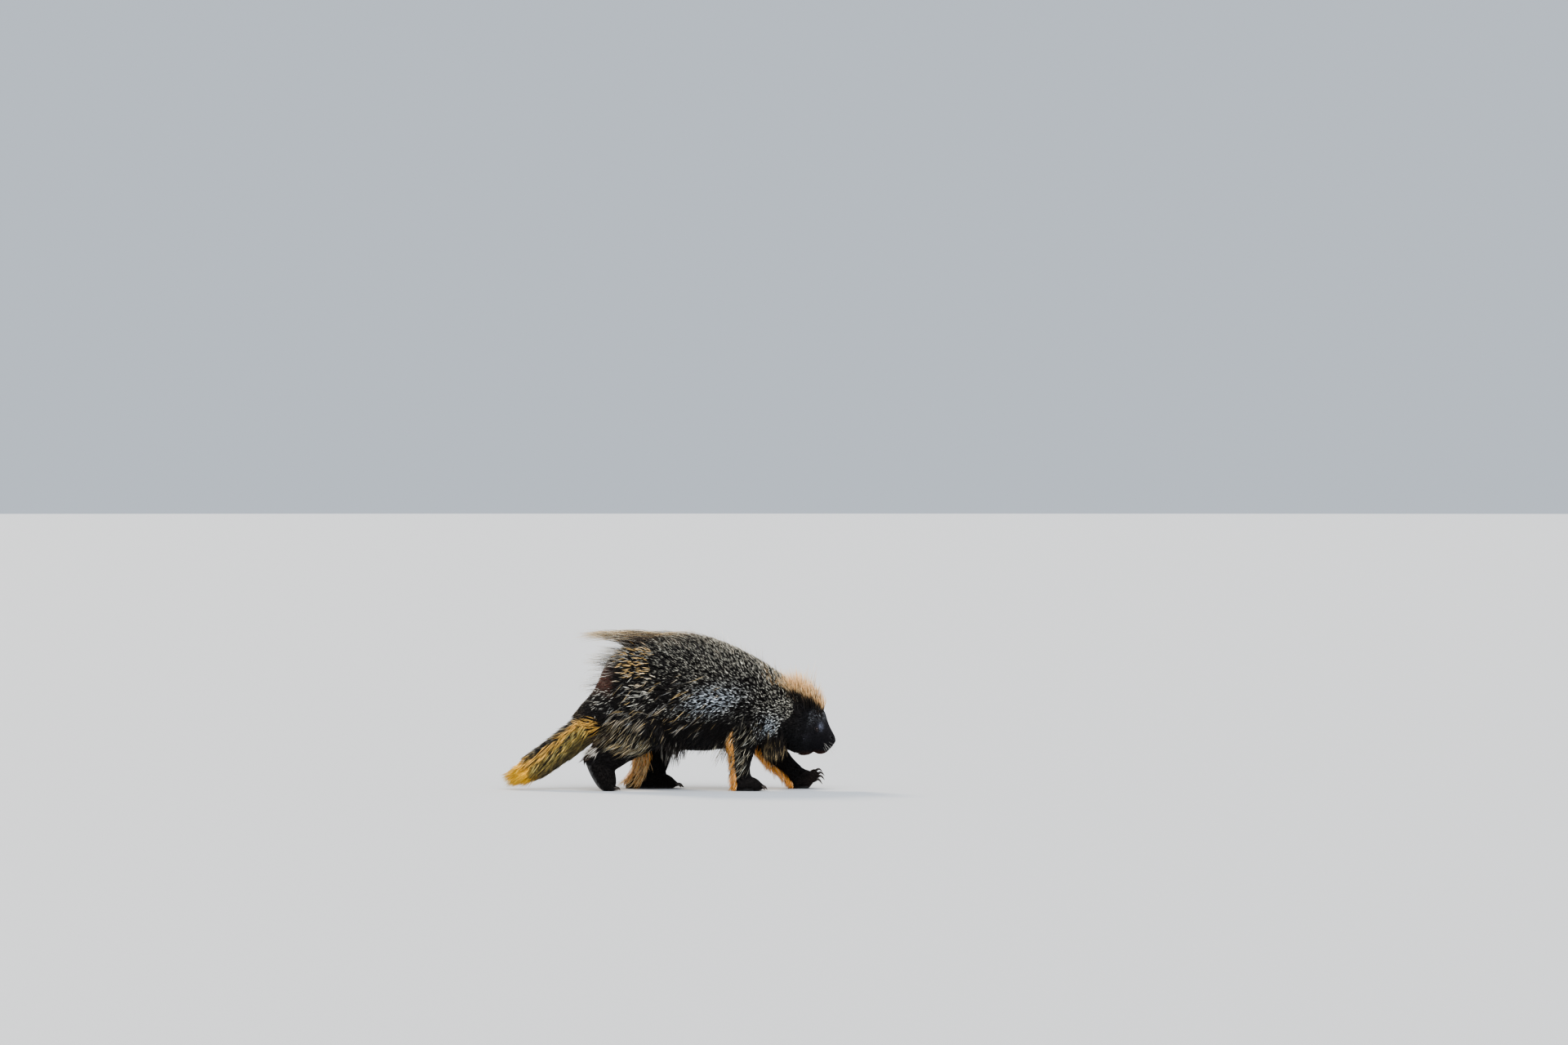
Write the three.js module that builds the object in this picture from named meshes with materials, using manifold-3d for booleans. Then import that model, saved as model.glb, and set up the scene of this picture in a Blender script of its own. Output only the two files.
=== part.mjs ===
// A North American porcupine in mid stride, life size, as a still museum model.
//
// The frame is in millimetres. +X is forward, +Y is the animal's left and +Z is up. The floor is z = 0,
// and the origin lies on it below the middle of the whole animal. The right forefoot, the left forefoot and
// the left hind foot are planted, and the right hind foot is about to leave the floor, on its toes.
//
// Each body is a loft: a row of cross sections, each one spanning from a point on its upper or front edge
// to a point on its lower or rear edge, both given as [x, z] in the side view, with its half width across Y.

import * as THREE from "three";
import { mergeVertices } from "three/addons/utils/BufferGeometryUtils.js";
import Module from "manifold-3d";

const wasm = await Module();
wasm.setup();

// Driving dimensions
const NODE_GAP = 0.3; // between two nodes that touch
const COAT_BACK = 27; // depth of the coat on the back, from the skin to the tips
const COAT_SIDE = 15;
const COAT_BELLY = 3;
const TRACK = 62; // from the middle plane to the middle of each foot
const EYE_RADIUS = 5.6;
const FLOOR_CUT = 2.5; // how far soles are modelled below the floor before they are cut flat
const LOCK_SPACING = 43; // between the locks of a row on the body
const LOCK_HALF_WIDTH = 20;
const CORE_SHARE = 0.4; // of the coat's depth, for the solid coat under the locks
const SEED = 17;
const FAR = 600; // half the size of the boxes that cut bodies apart
const SIDE = new THREE.Vector3(0, 1, 0);

const point = (x, y, z) => new THREE.Vector3(x, y, z);
const { lerp, clamp, smoothstep, seededRandom } = THREE.MathUtils;
const vary = (value, share) => value * (1 + share * (2 * seededRandom() - 1));

// Solids and meshes

function signedVolume(geometry) {
  const place = geometry.getAttribute("position");
  const corner = (i) => new THREE.Vector3().fromBufferAttribute(place, geometry.index.getX(i));
  let volume = 0;
  for (let i = 0; i < geometry.index.count; i += 3) {
    volume += corner(i).dot(corner(i + 1).cross(corner(i + 2))) / 6;
  }
  return volume;
}

// A closed geometry as a solid, with its faces turned outwards.
function solidOf(geometry) {
  const bare = new THREE.BufferGeometry();
  bare.setAttribute("position", geometry.getAttribute("position"));
  bare.setIndex(geometry.index);
  const merged = mergeVertices(bare, 1e-4);
  const corners = new Uint32Array(merged.index.array);
  if (signedVolume(merged) < 0) corners.reverse();
  const places = new Float32Array(merged.getAttribute("position").array);
  return new wasm.Manifold(new wasm.Mesh({ numProp: 3, vertProperties: places, triVerts: corners }));
}

// The largest closed body of a solid, as a geometry.
function geometryOf(solid) {
  const whole = solid.decompose().reduce((best, body) => (body.volume() > best.volume() ? body : best));
  const mesh = whole.getMesh();
  const places = [];
  for (let i = 0; i < mesh.numVert; i++) {
    places.push(...mesh.vertProperties.slice(i * mesh.numProp, i * mesh.numProp + 3));
  }
  const geometry = new THREE.BufferGeometry();
  geometry.setAttribute("position", new THREE.Float32BufferAttribute(places, 3));
  geometry.setIndex(new THREE.BufferAttribute(new Uint32Array(mesh.triVerts), 1));
  geometry.computeVertexNormals();
  return geometry;
}

const joined = (solids) => wasm.Manifold.union(solids);
const without = (solid, others) => solid.subtract(joined(others));

// Half of space, as a large box: its near face passes through place, and it lies on the side that away
// points to.
function halfSpace(place, away) {
  const direction = away.clone().normalize();
  const box = new THREE.BoxGeometry(2 * FAR, 2 * FAR, 2 * FAR);
  box.applyQuaternion(new THREE.Quaternion().setFromUnitVectors(point(0, 0, 1), direction));
  const middle = place.clone().addScaledVector(direction, FAR);
  box.translate(middle.x, middle.y, middle.z);
  return solidOf(box);
}

const belowFloor = halfSpace(point(0, 0, 0), point(0, 0, -1));

// The part of a solid on the side of a joint that its direction points to, or on the other side.
const ahead = (solid, joint) =>
  solid.subtract(
    halfSpace(joint.place.clone().addScaledVector(joint.way, NODE_GAP / 2), joint.way.clone().negate()),
  );
const behind = (solid, joint) =>
  solid.subtract(halfSpace(joint.place.clone().addScaledVector(joint.way, -NODE_GAP / 2), joint.way));

// A closed skin over rings of points, with a fan of triangles over each end. The last fan can run to a tip.
function skinOver(rings, tip) {
  const sides = rings[0].length;
  const places = rings.flat();
  const corners = [];
  for (let a = 0; a < (rings.length - 1) * sides; a++) {
    const b = (a + 1) % sides ? a + 1 : a + 1 - sides;
    corners.push(a, b, a + sides, b, b + sides, a + sides);
  }
  const last = (rings.length - 1) * sides;
  const middle = (ring) => ring.reduce((sum, p) => sum.add(p), point(0, 0, 0)).divideScalar(sides);
  places.push(middle(rings[0]), tip ?? middle(rings.at(-1)));
  for (let i = 0; i < sides; i++) {
    const j = (i + 1) % sides;
    corners.push(places.length - 2, j, i, places.length - 1, last + i, last + j);
  }
  const geometry = new THREE.BufferGeometry().setFromPoints(places);
  geometry.setIndex(corners);
  return geometry;
}

// A body through a row of sections, smooth between them. A section is followed by as many rings as its own
// number says, and each ring has the same number of sides.
class Loft {
  constructor(sides, sections) {
    const curve = (read) => new THREE.CatmullRomCurve3(sections.map(read), false, "catmullrom", 0.5);
    this.upper = curve((s) => point(s.upper[0], s.y ?? 0, s.upper[1]));
    this.lower = curve((s) => point(s.lower[0], s.y ?? 0, s.lower[1]));
    this.breadth = curve((s) => point(s.half, s.widest ?? 0.5, 0));
    this.sides = sides;
    this.stations = sections.flatMap((s, i) => {
      const rings = i + 1 < sections.length ? (s.rings ?? 1) : 1;
      return Array.from({ length: rings }, (_, k) => (i + k / rings) / (sections.length - 1));
    });
  }

  // The surface point at a share t of the length and an angle from the upper edge, towards +Y, moved out
  // by grow.
  at(t, angle, grow = 0) {
    if (t < 0 || t > 1) {
      const end = clamp(t, 0, 1);
      const edge = this.at(end, angle, grow);
      const within = this.at(Math.abs(end - 0.02), angle, grow);
      return edge.clone().sub(within).multiplyScalar(Math.abs(t - end) / 0.02).add(edge);
    }
    const upper = this.upper.getPoint(t);
    const lower = this.lower.getPoint(t);
    const { x: half, y: widest } = this.breadth.getPoint(t);
    const middle = lower.clone().lerp(upper, widest);
    const along = upper.clone().sub(lower).normalize();
    const reach = Math.cos(angle) > 0 ? upper.distanceTo(middle) : middle.distanceTo(lower);
    return middle
      .addScaledVector(along, (reach + grow) * Math.cos(angle))
      .addScaledVector(SIDE, (half + grow) * Math.sin(angle));
  }

  // At a surface point: backwards and round towards the belly, in mm for each unit of t and of the angle,
  // and straight out.
  frameAt(t, angle) {
    const side = Math.sign(angle) || 1;
    const here = this.at(t, angle);
    const back = here.clone().sub(this.at(t + 0.01, angle)).divideScalar(0.01);
    const down = this.at(t, angle + 0.05).sub(here).divideScalar(0.05 * side);
    const out = new THREE.Vector3().crossVectors(down, back).normalize();
    if (out.dot(this.at(t, angle, 1).sub(here)) < 0) out.negate();
    return { back, down, out };
  }

  // The share t and the angle, on the +Y side, of the surface point at a place in the side view.
  whereAt(x, z) {
    let best = { miss: Infinity };
    for (let t = 0; t <= 1; t += 0.0025) {
      const upper = this.upper.getPoint(t);
      const lower = this.lower.getPoint(t);
      const middle = lower.clone().lerp(upper, this.breadth.getPoint(t).y);
      const along = upper.clone().sub(lower).normalize();
      const height = point(x, middle.y, z).sub(middle).dot(along);
      const miss = middle.clone().addScaledVector(along, height).distanceTo(point(x, middle.y, z));
      const reach = height > 0 ? upper.distanceTo(middle) : middle.distanceTo(lower);
      if (miss < best.miss) best = { miss, t, angle: Math.acos(clamp(height / reach, -1, 1)) };
    }
    return best;
  }

  // The solid, moved out by grow, which is a function of t and the angle.
  solid(grow = () => 0) {
    const turns = Array.from({ length: this.sides }, (_, i) => (2 * Math.PI * i) / this.sides);
    const ringAt = (t) => turns.map((angle) => this.at(t, angle, grow(t, angle)));
    return solidOf(skinOver(this.stations.map(ringAt)));
  }
}

// A round tapered tube along a smooth curve through points.
function tube(points, radii, sides, steps) {
  const path = new THREE.CatmullRomCurve3(points);
  const girth = new THREE.CatmullRomCurve3(radii.map((r) => point(r, 0, 0)));
  const frames = path.computeFrenetFrames(steps, false);
  const rings = [];
  for (let s = 0; s <= steps; s++) {
    const centre = path.getPointAt(s / steps);
    const radius = girth.getPoint(s / steps).x;
    const ring = [];
    for (let i = 0; i < sides; i++) {
      const angle = (2 * Math.PI * i) / sides;
      ring.push(
        centre
          .clone()
          .addScaledVector(frames.normals[s], radius * Math.cos(angle))
          .addScaledVector(frames.binormals[s], radius * Math.sin(angle)),
      );
    }
    rings.push(ring);
  }
  return solidOf(skinOver(rings));
}

function ellipsoid(centre, radii, turn = [0, 0, 0], columns = 14, rows = 9) {
  const ball = new THREE.SphereGeometry(1, columns, rows);
  ball.scale(...radii);
  ball.applyQuaternion(new THREE.Quaternion().setFromEuler(new THREE.Euler(...turn)));
  ball.translate(centre.x, centre.y, centre.z);
  return solidOf(ball);
}

// Locks and spines

// A flat tapered lock through points, each with the direction that its flat side faces. It is widest a third
// of the way along, it ends in a point, and grow makes it larger all round.
function ribbon(points, facings, halfWidth, halfDepth, grow = 0) {
  const rings = points.slice(0, -1).map((place, i) => {
    const way = points[i + 1].clone().sub(points[Math.max(0, i - 1)]).normalize();
    const across = new THREE.Vector3().crossVectors(way, facings[i]).normalize();
    const facing = new THREE.Vector3().crossVectors(across, way).normalize();
    const share = i / (points.length - 1);
    const taper = share < 0.34 ? lerp(0.5, 1, share / 0.34) : lerp(1, 0.35, (share - 0.34) / 0.66);
    const wide = halfWidth * taper + grow;
    const deep = halfDepth * taper + grow;
    return [
      [wide, 0],
      [0, deep],
      [-wide, 0],
      [0, -deep],
    ].map(([a, b]) => place.clone().addScaledVector(across, a).addScaledVector(facing, b));
  });
  const tip = points.at(-1).clone().sub(points.at(-2)).normalize().multiplyScalar(grow).add(points.at(-1));
  return solidOf(skinOver(rings, tip));
}

// A lock that lies over a loft. It leaves the surface at t and angle, turned from straight backwards towards
// the belly by turn, and rises from the height root to the height tip, bending with the body on its way.
function lockOn(loft, { t, angle, turn, length, halfWidth, halfDepth, root, tip, steps = 3 }, grow = 0) {
  const points = [];
  const facings = [];
  for (let step = 0; step <= steps; step++) {
    const share = step / steps;
    points.push(loft.at(t, angle, lerp(root, tip, share ** 0.85)));
    const { back, down, out } = loft.frameAt(t, angle);
    facings.push(out);
    t -= ((length / steps) * Math.cos(turn)) / back.length();
    angle += (Math.sign(angle) * (length / steps) * Math.sin(turn)) / down.length();
  }
  return ribbon(points, facings, halfWidth, halfDepth, grow);
}

// A quill: a thin straight spine of three sides that stands off the surface by raise, in radians.
function quillOn(loft, { t, angle, turn, raise, length, radius, root }, grow = 0) {
  const { back, down, out } = loft.frameAt(t, angle);
  const lie = back.setLength(Math.cos(turn)).add(down.setLength(Math.sin(turn))).normalize();
  const way = lie.multiplyScalar(Math.cos(raise)).addScaledVector(out, Math.sin(raise)).normalize();
  const start = loft.at(t, angle, root);
  const across = new THREE.Vector3().crossVectors(way, out).normalize();
  const over = new THREE.Vector3().crossVectors(across, way);
  const ringAt = (share, thick) =>
    [0, 1, 2].map((i) =>
      start
        .clone()
        .addScaledVector(way, length * share)
        .addScaledVector(across, (thick + grow) * Math.cos((2 * Math.PI * i) / 3))
        .addScaledVector(over, (thick + grow) * Math.sin((2 * Math.PI * i) / 3)),
    );
  const tip = start.clone().addScaledVector(way, length + grow);
  return solidOf(skinOver([ringAt(0, radius * 0.8), ringAt(0.55, radius)], tip));
}

// Torso, neck and head, in one loft from the root of the tail to the nose

const body = new Loft(20, [
  { upper: [-172, 158], lower: [-136, 100], half: 24 }, // root of the tail
  { upper: [-146, 186], lower: [-114, 96], half: 38 }, // below the rump
  { upper: [-120, 222], lower: [-90, 90], half: 60, widest: 0.45 }, // rump
  { upper: [-88, 259], lower: [-56, 87], half: 76, widest: 0.42 }, // hips
  { upper: [-38, 284], lower: [-16, 88], half: 84, widest: 0.42 }, // loin
  { upper: [20, 290], lower: [20, 87], half: 86, widest: 0.42 }, // the top of the arch
  { upper: [76, 283], lower: [70, 84], half: 82, widest: 0.42 }, // back
  { upper: [126, 264], lower: [114, 89], half: 74, widest: 0.44 }, // ribs
  { upper: [170, 241], lower: [152, 92], half: 64, widest: 0.46 }, // shoulders
  { upper: [204, 220], lower: [186, 97], half: 52, widest: 0.5 }, // root of the neck
  { upper: [232, 203], lower: [212, 96], half: 46, widest: 0.5 }, // neck
  { upper: [256, 194], lower: [234, 92], half: 44, widest: 0.48 }, // back of the skull
  { upper: [280, 186], lower: [254, 80], half: 42, widest: 0.46, rings: 2 }, // ears and cheeks
  { upper: [302, 173], lower: [276, 78], half: 37, widest: 0.46, rings: 2 }, // brow
  { upper: [315, 156], lower: [295, 79], half: 30, widest: 0.46, rings: 2 }, // eyes
  { upper: [321, 138], lower: [309, 77], half: 25, widest: 0.5, rings: 2 }, // muzzle
  { upper: [328, 122], lower: [321, 79], half: 21.5, widest: 0.52, rings: 2 }, // nostrils
  { upper: [334, 112], lower: [331, 88], half: 15 }, // tip of the nose
  { upper: [337, 103], lower: [336, 97], half: 4 },
]);

// Depth of the coat from the skin to its tips: deepest on the back, and gone on the muzzle.
function bodyCoat(t, angle) {
  const upward = Math.cos(angle);
  const depth = upward > 0 ? lerp(COAT_SIDE, COAT_BACK, upward) : lerp(COAT_SIDE, COAT_BELLY, -upward);
  return depth * (1 - smoothstep(t, 0.56, 0.7)) * lerp(0.6, 1, smoothstep(t, 0, 0.14));
}

// Rows of wide locks from the rump to the ears, laid like shingles. They lie backwards on the back, and more
// and more downwards on the flanks.
function bodyLocks() {
  const locks = [];
  for (let row = 0; row < 9; row++) {
    const t = lerp(0.03, 0.64, row / 8);
    const short = smoothstep(t, 0.5, 0.66); // towards the ears
    for (const side of [-1, 1]) {
      for (let angle = row % 2 ? 0.24 : 0.02; angle < 2.1; ) {
        const spot = {
          t: t + 0.014 * (2 * seededRandom() - 1),
          angle: side * (angle + 0.05 * seededRandom()),
        };
        const depth = bodyCoat(spot.t, spot.angle);
        locks.push(
          lockOn(body, {
            ...spot,
            turn: lerp(0.05, 0.75, smoothstep(angle, 0.2, 1.7)) + 0.25 * (seededRandom() - 0.5),
            length: vary(lerp(108, 70, smoothstep(angle, 0.4, 2.2)), 0.12) * lerp(1, 0.55, short),
            halfWidth: vary(LOCK_HALF_WIDTH, 0.15) * lerp(1, 0.7, short),
            halfDepth: 4,
            root: depth * CORE_SHARE - 5,
            tip: vary(depth, 0.1) + 2,
            steps: angle < 1 ? 3 : 2,
          }),
        );
        angle += LOCK_SPACING / body.frameAt(t, side * angle).down.length();
      }
    }
  }
  return locks;
}

// Quills of the back, the rump and the root of the tail, between the locks.
function bodyQuills() {
  const quills = [];
  for (let i = 0; i < 32; i++) {
    const spot = { t: lerp(0.02, 0.46, seededRandom()), angle: 1.35 * (2 * seededRandom() - 1) };
    const depth = bodyCoat(spot.t, spot.angle);
    const length = vary(60, 0.15);
    quills.push(
      quillOn(body, {
        ...spot,
        turn: 0.3 * Math.abs(spot.angle) + 0.3 * (seededRandom() - 0.5),
        raise: Math.asin((depth * vary(0.65, 0.2)) / length),
        length,
        radius: 1.6,
        root: depth * CORE_SHARE - 5,
      }),
    );
  }
  return quills;
}

// The long guard hair that streams back level from the top of the rump.
function rumpCrest() {
  return Array.from({ length: 14 }, (_, i) => {
    const t = lerp(0.17, 0.31, seededRandom());
    const angle = lerp(-0.55, 0.55, (i + 0.5) / 14);
    const start = body.at(t, angle, bodyCoat(t, angle) * CORE_SHARE - 6);
    const length = Math.min(vary(125, 0.15), start.x + 178);
    const rise = lerp(304, 324, seededRandom()) - 22 * Math.abs(angle) - start.z;
    const along = [0, 0.3, 0.65, 1].map((share) => {
      const up = rise * (1 - (1 - share) ** 2.4);
      return start.clone().add(point(-length * share, 0.1 * length * angle * share, up));
    });
    return ribbon(along, Array(4).fill(point(0.2, Math.sin(angle), Math.cos(angle))), vary(8, 0.2), 2.2);
  });
}

// The crest of the crown, which stands up on the forehead and leans back on the nape. Each lock comes with
// the place that it grows from.
function crownCrest(grow) {
  seededRandom(SEED);
  return Array.from({ length: 22 }, (_, i) => {
    const t = lerp(0.53, 0.74, (i + seededRandom()) / 22);
    const angle = 0.75 * (2 * seededRandom() - 1);
    const nape = 1 - smoothstep(t, 0.53, 0.62);
    const brow = smoothstep(t, 0.62, 0.73);
    const form = {
      t,
      angle,
      turn: 0,
      length: vary(26 + 20 * nape + 18 * brow, 0.12),
      halfWidth: vary(9.5, 0.2),
      halfDepth: 3,
      root: bodyCoat(t, angle) * CORE_SHARE - 6,
      tip: vary(52 - 26 * nape - 5 * brow, 0.12) * Math.cos(0.7 * angle),
    };
    return { from: body.at(t, angle), solid: lockOn(body, form, grow) };
  });
}

const tail = new Loft(12, [
  { upper: [-161, 169], lower: [-119, 111], half: 32 }, // in the rump
  { upper: [-187, 139], lower: [-157, 99], half: 26 },
  { upper: [-217, 114], lower: [-191, 76], half: 24 },
  { upper: [-248, 88], lower: [-224, 54], half: 22 },
  { upper: [-278, 65], lower: [-256, 34], half: 17 },
  { upper: [-300, 46], lower: [-286, 26], half: 10 },
]);
const tailCoat = (t) => lerp(12, 15, t);

// Stiff hair in rows down the tail, ending in a brush, with quills on its top.
function tailLocks() {
  const locks = [];
  for (let row = 0; row < 4; row++) {
    const t = lerp(0.2, 0.9, row / 3);
    const count = 6;
    for (let i = 0; i < count; i++) {
      const angle = ((i + 0.5 * (row % 2) + 0.2 * seededRandom()) / count) * 2 * Math.PI - Math.PI;
      locks.push(
        lockOn(tail, {
          t,
          angle,
          turn: Math.PI - 0.35 * Math.abs(Math.sin(angle)),
          length: vary(row < 3 ? 74 : 60, 0.1),
          halfWidth: vary(12, 0.15),
          halfDepth: 3,
          root: tailCoat(t) * CORE_SHARE - 4,
          tip: vary(tailCoat(t), 0.2),
          steps: 2,
        }),
      );
    }
  }
  for (let i = 0; i < 6; i++) {
    locks.push(
      quillOn(tail, {
        t: lerp(0.08, 0.6, (i + seededRandom()) / 6),
        angle: 1.1 * (2 * seededRandom() - 1),
        turn: Math.PI,
        raise: 0.2,
        length: vary(46, 0.15),
        radius: 1.5,
        root: 1,
      }),
    );
  }
  return locks;
}

// Legs, each in one loft from inside the torso down to the foot

const sideOf = (name) => (name.endsWith("left") ? 1 : -1);

const legs = {
  fore_right: new Loft(10, [
    { upper: [188, 176], lower: [144, 180], y: -30, half: 16 },
    { upper: [192, 148], lower: [130, 150], y: -42, half: 25 },
    { upper: [180, 114], lower: [126, 116], y: -54, half: 25 }, // elbow
    { upper: [170, 78], lower: [129, 80], y: -TRACK, half: 20 },
    { upper: [164, 46], lower: [132, 48], y: -TRACK, half: 17 },
    { upper: [168, 18], lower: [135, 14], y: -TRACK, half: 17 },
  ]),
  fore_left: new Loft(10, [
    { upper: [200, 172], lower: [156, 184], y: 30, half: 16 },
    { upper: [208, 142], lower: [150, 146], y: 42, half: 25 },
    { upper: [218, 110], lower: [168, 102], y: 54, half: 24 }, // elbow
    { upper: [236, 77], lower: [196, 58], y: TRACK, half: 20 },
    { upper: [258, 52], lower: [228, 32], y: TRACK, half: 18 },
    { upper: [276, 36], lower: [248, 8], y: TRACK, half: 18 },
  ]),
  hind_left: new Loft(10, [
    { upper: [-20, 184], lower: [-80, 186], y: 34, half: 18 },
    { upper: [4, 150], lower: [-88, 152], y: 48, half: 33 },
    { upper: [11, 112], lower: [-78, 112], y: 58, half: 33 }, // knee
    { upper: [6, 82], lower: [-66, 76], y: TRACK, half: 27 },
    { upper: [0, 54], lower: [-66, 46], y: TRACK, half: 21 },
    { upper: [-8, 30], lower: [-78, 18], y: TRACK, half: 18 },
  ]),
  hind_right: new Loft(10, [
    { upper: [-22, 184], lower: [-84, 190], y: -34, half: 18 },
    { upper: [-2, 146], lower: [-100, 160], y: -48, half: 33 },
    { upper: [-16, 104], lower: [-116, 130], y: -58, half: 33 }, // knee
    { upper: [-50, 78], lower: [-134, 110], y: -TRACK, half: 27 },
    { upper: [-84, 57], lower: [-150, 88], y: -TRACK, half: 21 },
    { upper: [-107, 42], lower: [-164, 68], y: -TRACK, half: 17 },
  ]),
};
const legCoat = (t) => lerp(2, 11, smoothstep(t, 0, 0.3)) * lerp(1, 0.3, smoothstep(t, 0.45, 1));

// Locks on the outer side of a leg, which hang down and back, and a fringe down its rear edge.
function legLocks(name, grow) {
  seededRandom(SEED + name.length + name.charCodeAt(5));
  const leg = legs[name];
  const side = sideOf(name);
  const locks = [];
  const add = (t, angle, turn, length, halfWidth, tip) =>
    locks.push(
      lockOn(
        leg,
        {
          t,
          angle,
          turn: turn + 0.2 * (seededRandom() - 0.5),
          length: vary(length, 0.15),
          halfWidth: vary(halfWidth, 0.15),
          halfDepth: 3,
          root: legCoat(t) * CORE_SHARE - 4,
          tip: vary(tip, 0.2),
          steps: 2,
        },
        grow,
      ),
    );
  for (let row = 0; row < 3; row++) {
    for (let i = 0; i < 2; i++) {
      const t = lerp(0.28, 0.64, row / 2);
      const angle = side * (0.75 + i + 0.5 * (row % 2));
      add(t, angle, Math.PI - 0.35, lerp(68, 38, row / 2), 15, legCoat(t));
    }
  }
  for (let i = 0; i < 4; i++) {
    const t = lerp(0.34, 0.74, i / 3);
    add(t, side * (2.65 + 0.4 * seededRandom()), Math.PI - 0.3, lerp(54, 36, i / 3), 7.5, lerp(15, 9, i / 3));
  }
  return locks;
}

// Where a leg bends, and where it meets its foot. Each direction points up the leg.
const legJoints = {
  fore_right: {
    bend: { place: point(150, -55, 96), way: point(0, 0, 1) },
    ankle: { place: point(152, -TRACK, 30), way: point(0.1, 0, 1).normalize() },
  },
  fore_left: {
    bend: { place: point(206, 56, 88), way: point(-0.4, 0, 0.92) },
    ankle: { place: point(257, TRACK, 28), way: point(-0.62, 0, 0.78) },
  },
  hind_left: {
    bend: { place: point(-32, 58, 92), way: point(0, 0, 1) },
    ankle: { place: point(-40, TRACK, 36), way: point(0.25, 0, 0.97) },
  },
  hind_right: {
    bend: { place: point(-78, -58, 108), way: point(0.68, 0, 0.73) },
    ankle: { place: point(-130, -TRACK, 58), way: point(0.62, 0, 0.78) },
  },
};

// Feet. A pad runs from the heel to the roots of the toes.

const feet = {
  fore_right: {
    pad: [
      { upper: [134, 14], lower: [131, -FLOOR_CUT], half: 12 },
      { upper: [150, 28], lower: [150, -FLOOR_CUT], half: 19 },
      { upper: [170, 26], lower: [170, -FLOOR_CUT], half: 23 },
      { upper: [184, 18], lower: [184, -FLOOR_CUT], half: 21 },
    ],
    toes: { count: 4, radius: 5.6, root: [178, 8], end: [191, 7], lift: 2, spread: 9.5, roll: 0 },
    claw: { end: [201, 2.2], lift: 3.5 },
  },
  fore_left: {
    pad: [
      { upper: [256, 32], lower: [247, -FLOOR_CUT], half: 14 },
      { upper: [272, 37], lower: [266, -FLOOR_CUT], half: 20 },
      { upper: [286, 33], lower: [282, -1], half: 23 },
      { upper: [294, 29], lower: [292, 9], half: 21 },
    ],
    toes: { count: 4, radius: 5.4, root: [289, 20], end: [302, 26], lift: 2, spread: 10, roll: 20 },
    claw: { end: [317, 21], lift: 5 },
  },
  hind_left: {
    pad: [
      { upper: [-86, 14], lower: [-88, -FLOOR_CUT], half: 12 },
      { upper: [-66, 30], lower: [-66, -FLOOR_CUT], half: 17 },
      { upper: [-26, 35], lower: [-26, -FLOOR_CUT], half: 21 },
      { upper: [8, 20], lower: [8, -FLOOR_CUT], half: 22 },
    ],
    toes: { count: 5, radius: 5, root: [3, 8], end: [17, 7], lift: 3, spread: 8.2, roll: 0 },
    claw: { end: [31, 2.2], lift: 4 },
  },
  hind_right: {
    pad: [
      { upper: [-113, 56], lower: [-168, 66], half: 15 },
      { upper: [-109, 44], lower: [-162, 46], half: 18 },
      { upper: [-107, 32], lower: [-152, 25], half: 20 },
      { upper: [-106, 20], lower: [-139, 6], half: 22 },
      { upper: [-106, 14], lower: [-124, -FLOOR_CUT], half: 21 },
    ],
    toes: { count: 5, radius: 4.8, root: [-116, 5], end: [-105, 4.5], lift: 1, spread: 8.2, roll: 0 },
    claw: { end: [-95, 2], lift: 3 },
  },
};

// The path of a toe, and of the claw that follows it. The outer toes start further back and turn out. Where a
// foot rolls over, those on its left side stand higher than those on its right.
function toePaths(name, toe) {
  const { toes, claw } = feet[name];
  const share = (2 * toe) / (toes.count - 1) - 1;
  const across = share * (toes.count - 1) * 0.5 * toes.spread;
  const back = 5 * share * share;
  const place = ([x, z], reach, rise) =>
    point(x - back, sideOf(name) * TRACK + across * reach, z + toes.roll * share * rise);
  const middle = (a, b, lift) => a.clone().lerp(b, 0.5).add(point(0, 0, lift));
  const root = place(toes.root, 0.85, 0.15);
  const end = place(toes.end, 1.1, 0.4);
  const tip = place(claw.end, 1.25, 0.6);
  const start = end.clone().add(middle(root, end, toes.lift).sub(end).setLength(3));
  return { toe: [root, middle(root, end, toes.lift), end], claw: [start, middle(end, tip, claw.lift), tip] };
}

function clawOf(name, toe, grow = 0) {
  const radius = feet[name].toes.radius;
  return tube(toePaths(name, toe).claw, [radius * 0.55 + grow, radius * 0.45 + grow, 0.5 + grow], 5, 3);
}

function footOf(name) {
  const { pad, toes } = feet[name];
  const sole = new Loft(
    10,
    pad.map((section) => ({ ...section, y: sideOf(name) * TRACK })),
  ).solid();
  const fingers = Array.from({ length: toes.count }, (_, toe) =>
    tube(toePaths(name, toe).toe, [toes.radius, toes.radius, toes.radius * 0.75], 6, 2),
  );
  return joined([sole, ...fingers]);
}

// Face. Places are given in the side view, on the +Y side, and mirrored for the other one.

const EYE = [301, 122];
const EAR = [267, 164];
const NOSTRIL = [332, 105];
const MOUTH = [
  [272, 94],
  [279, 89],
  [286, 84],
  [292, 81],
];

function facePoint([x, z], out) {
  const { t, angle } = body.whereAt(x, z);
  return body.at(t, angle, out);
}

// A lid is an arch round the eye, from corner to corner, thickest in its middle.
function lid(from, to, grow) {
  const arch = [0, 0.25, 0.5, 0.75, 1].map((share) => {
    const angle = lerp(from, to, share);
    const place = [EYE[0] + 6.4 * Math.cos(angle), EYE[1] + 5.2 * Math.sin(angle)];
    return facePoint(place, lerp(0.6, grow, Math.sin(Math.PI * share)));
  });
  return tube(arch, [1.1, 1.9, 1.1], 4, 4);
}

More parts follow.
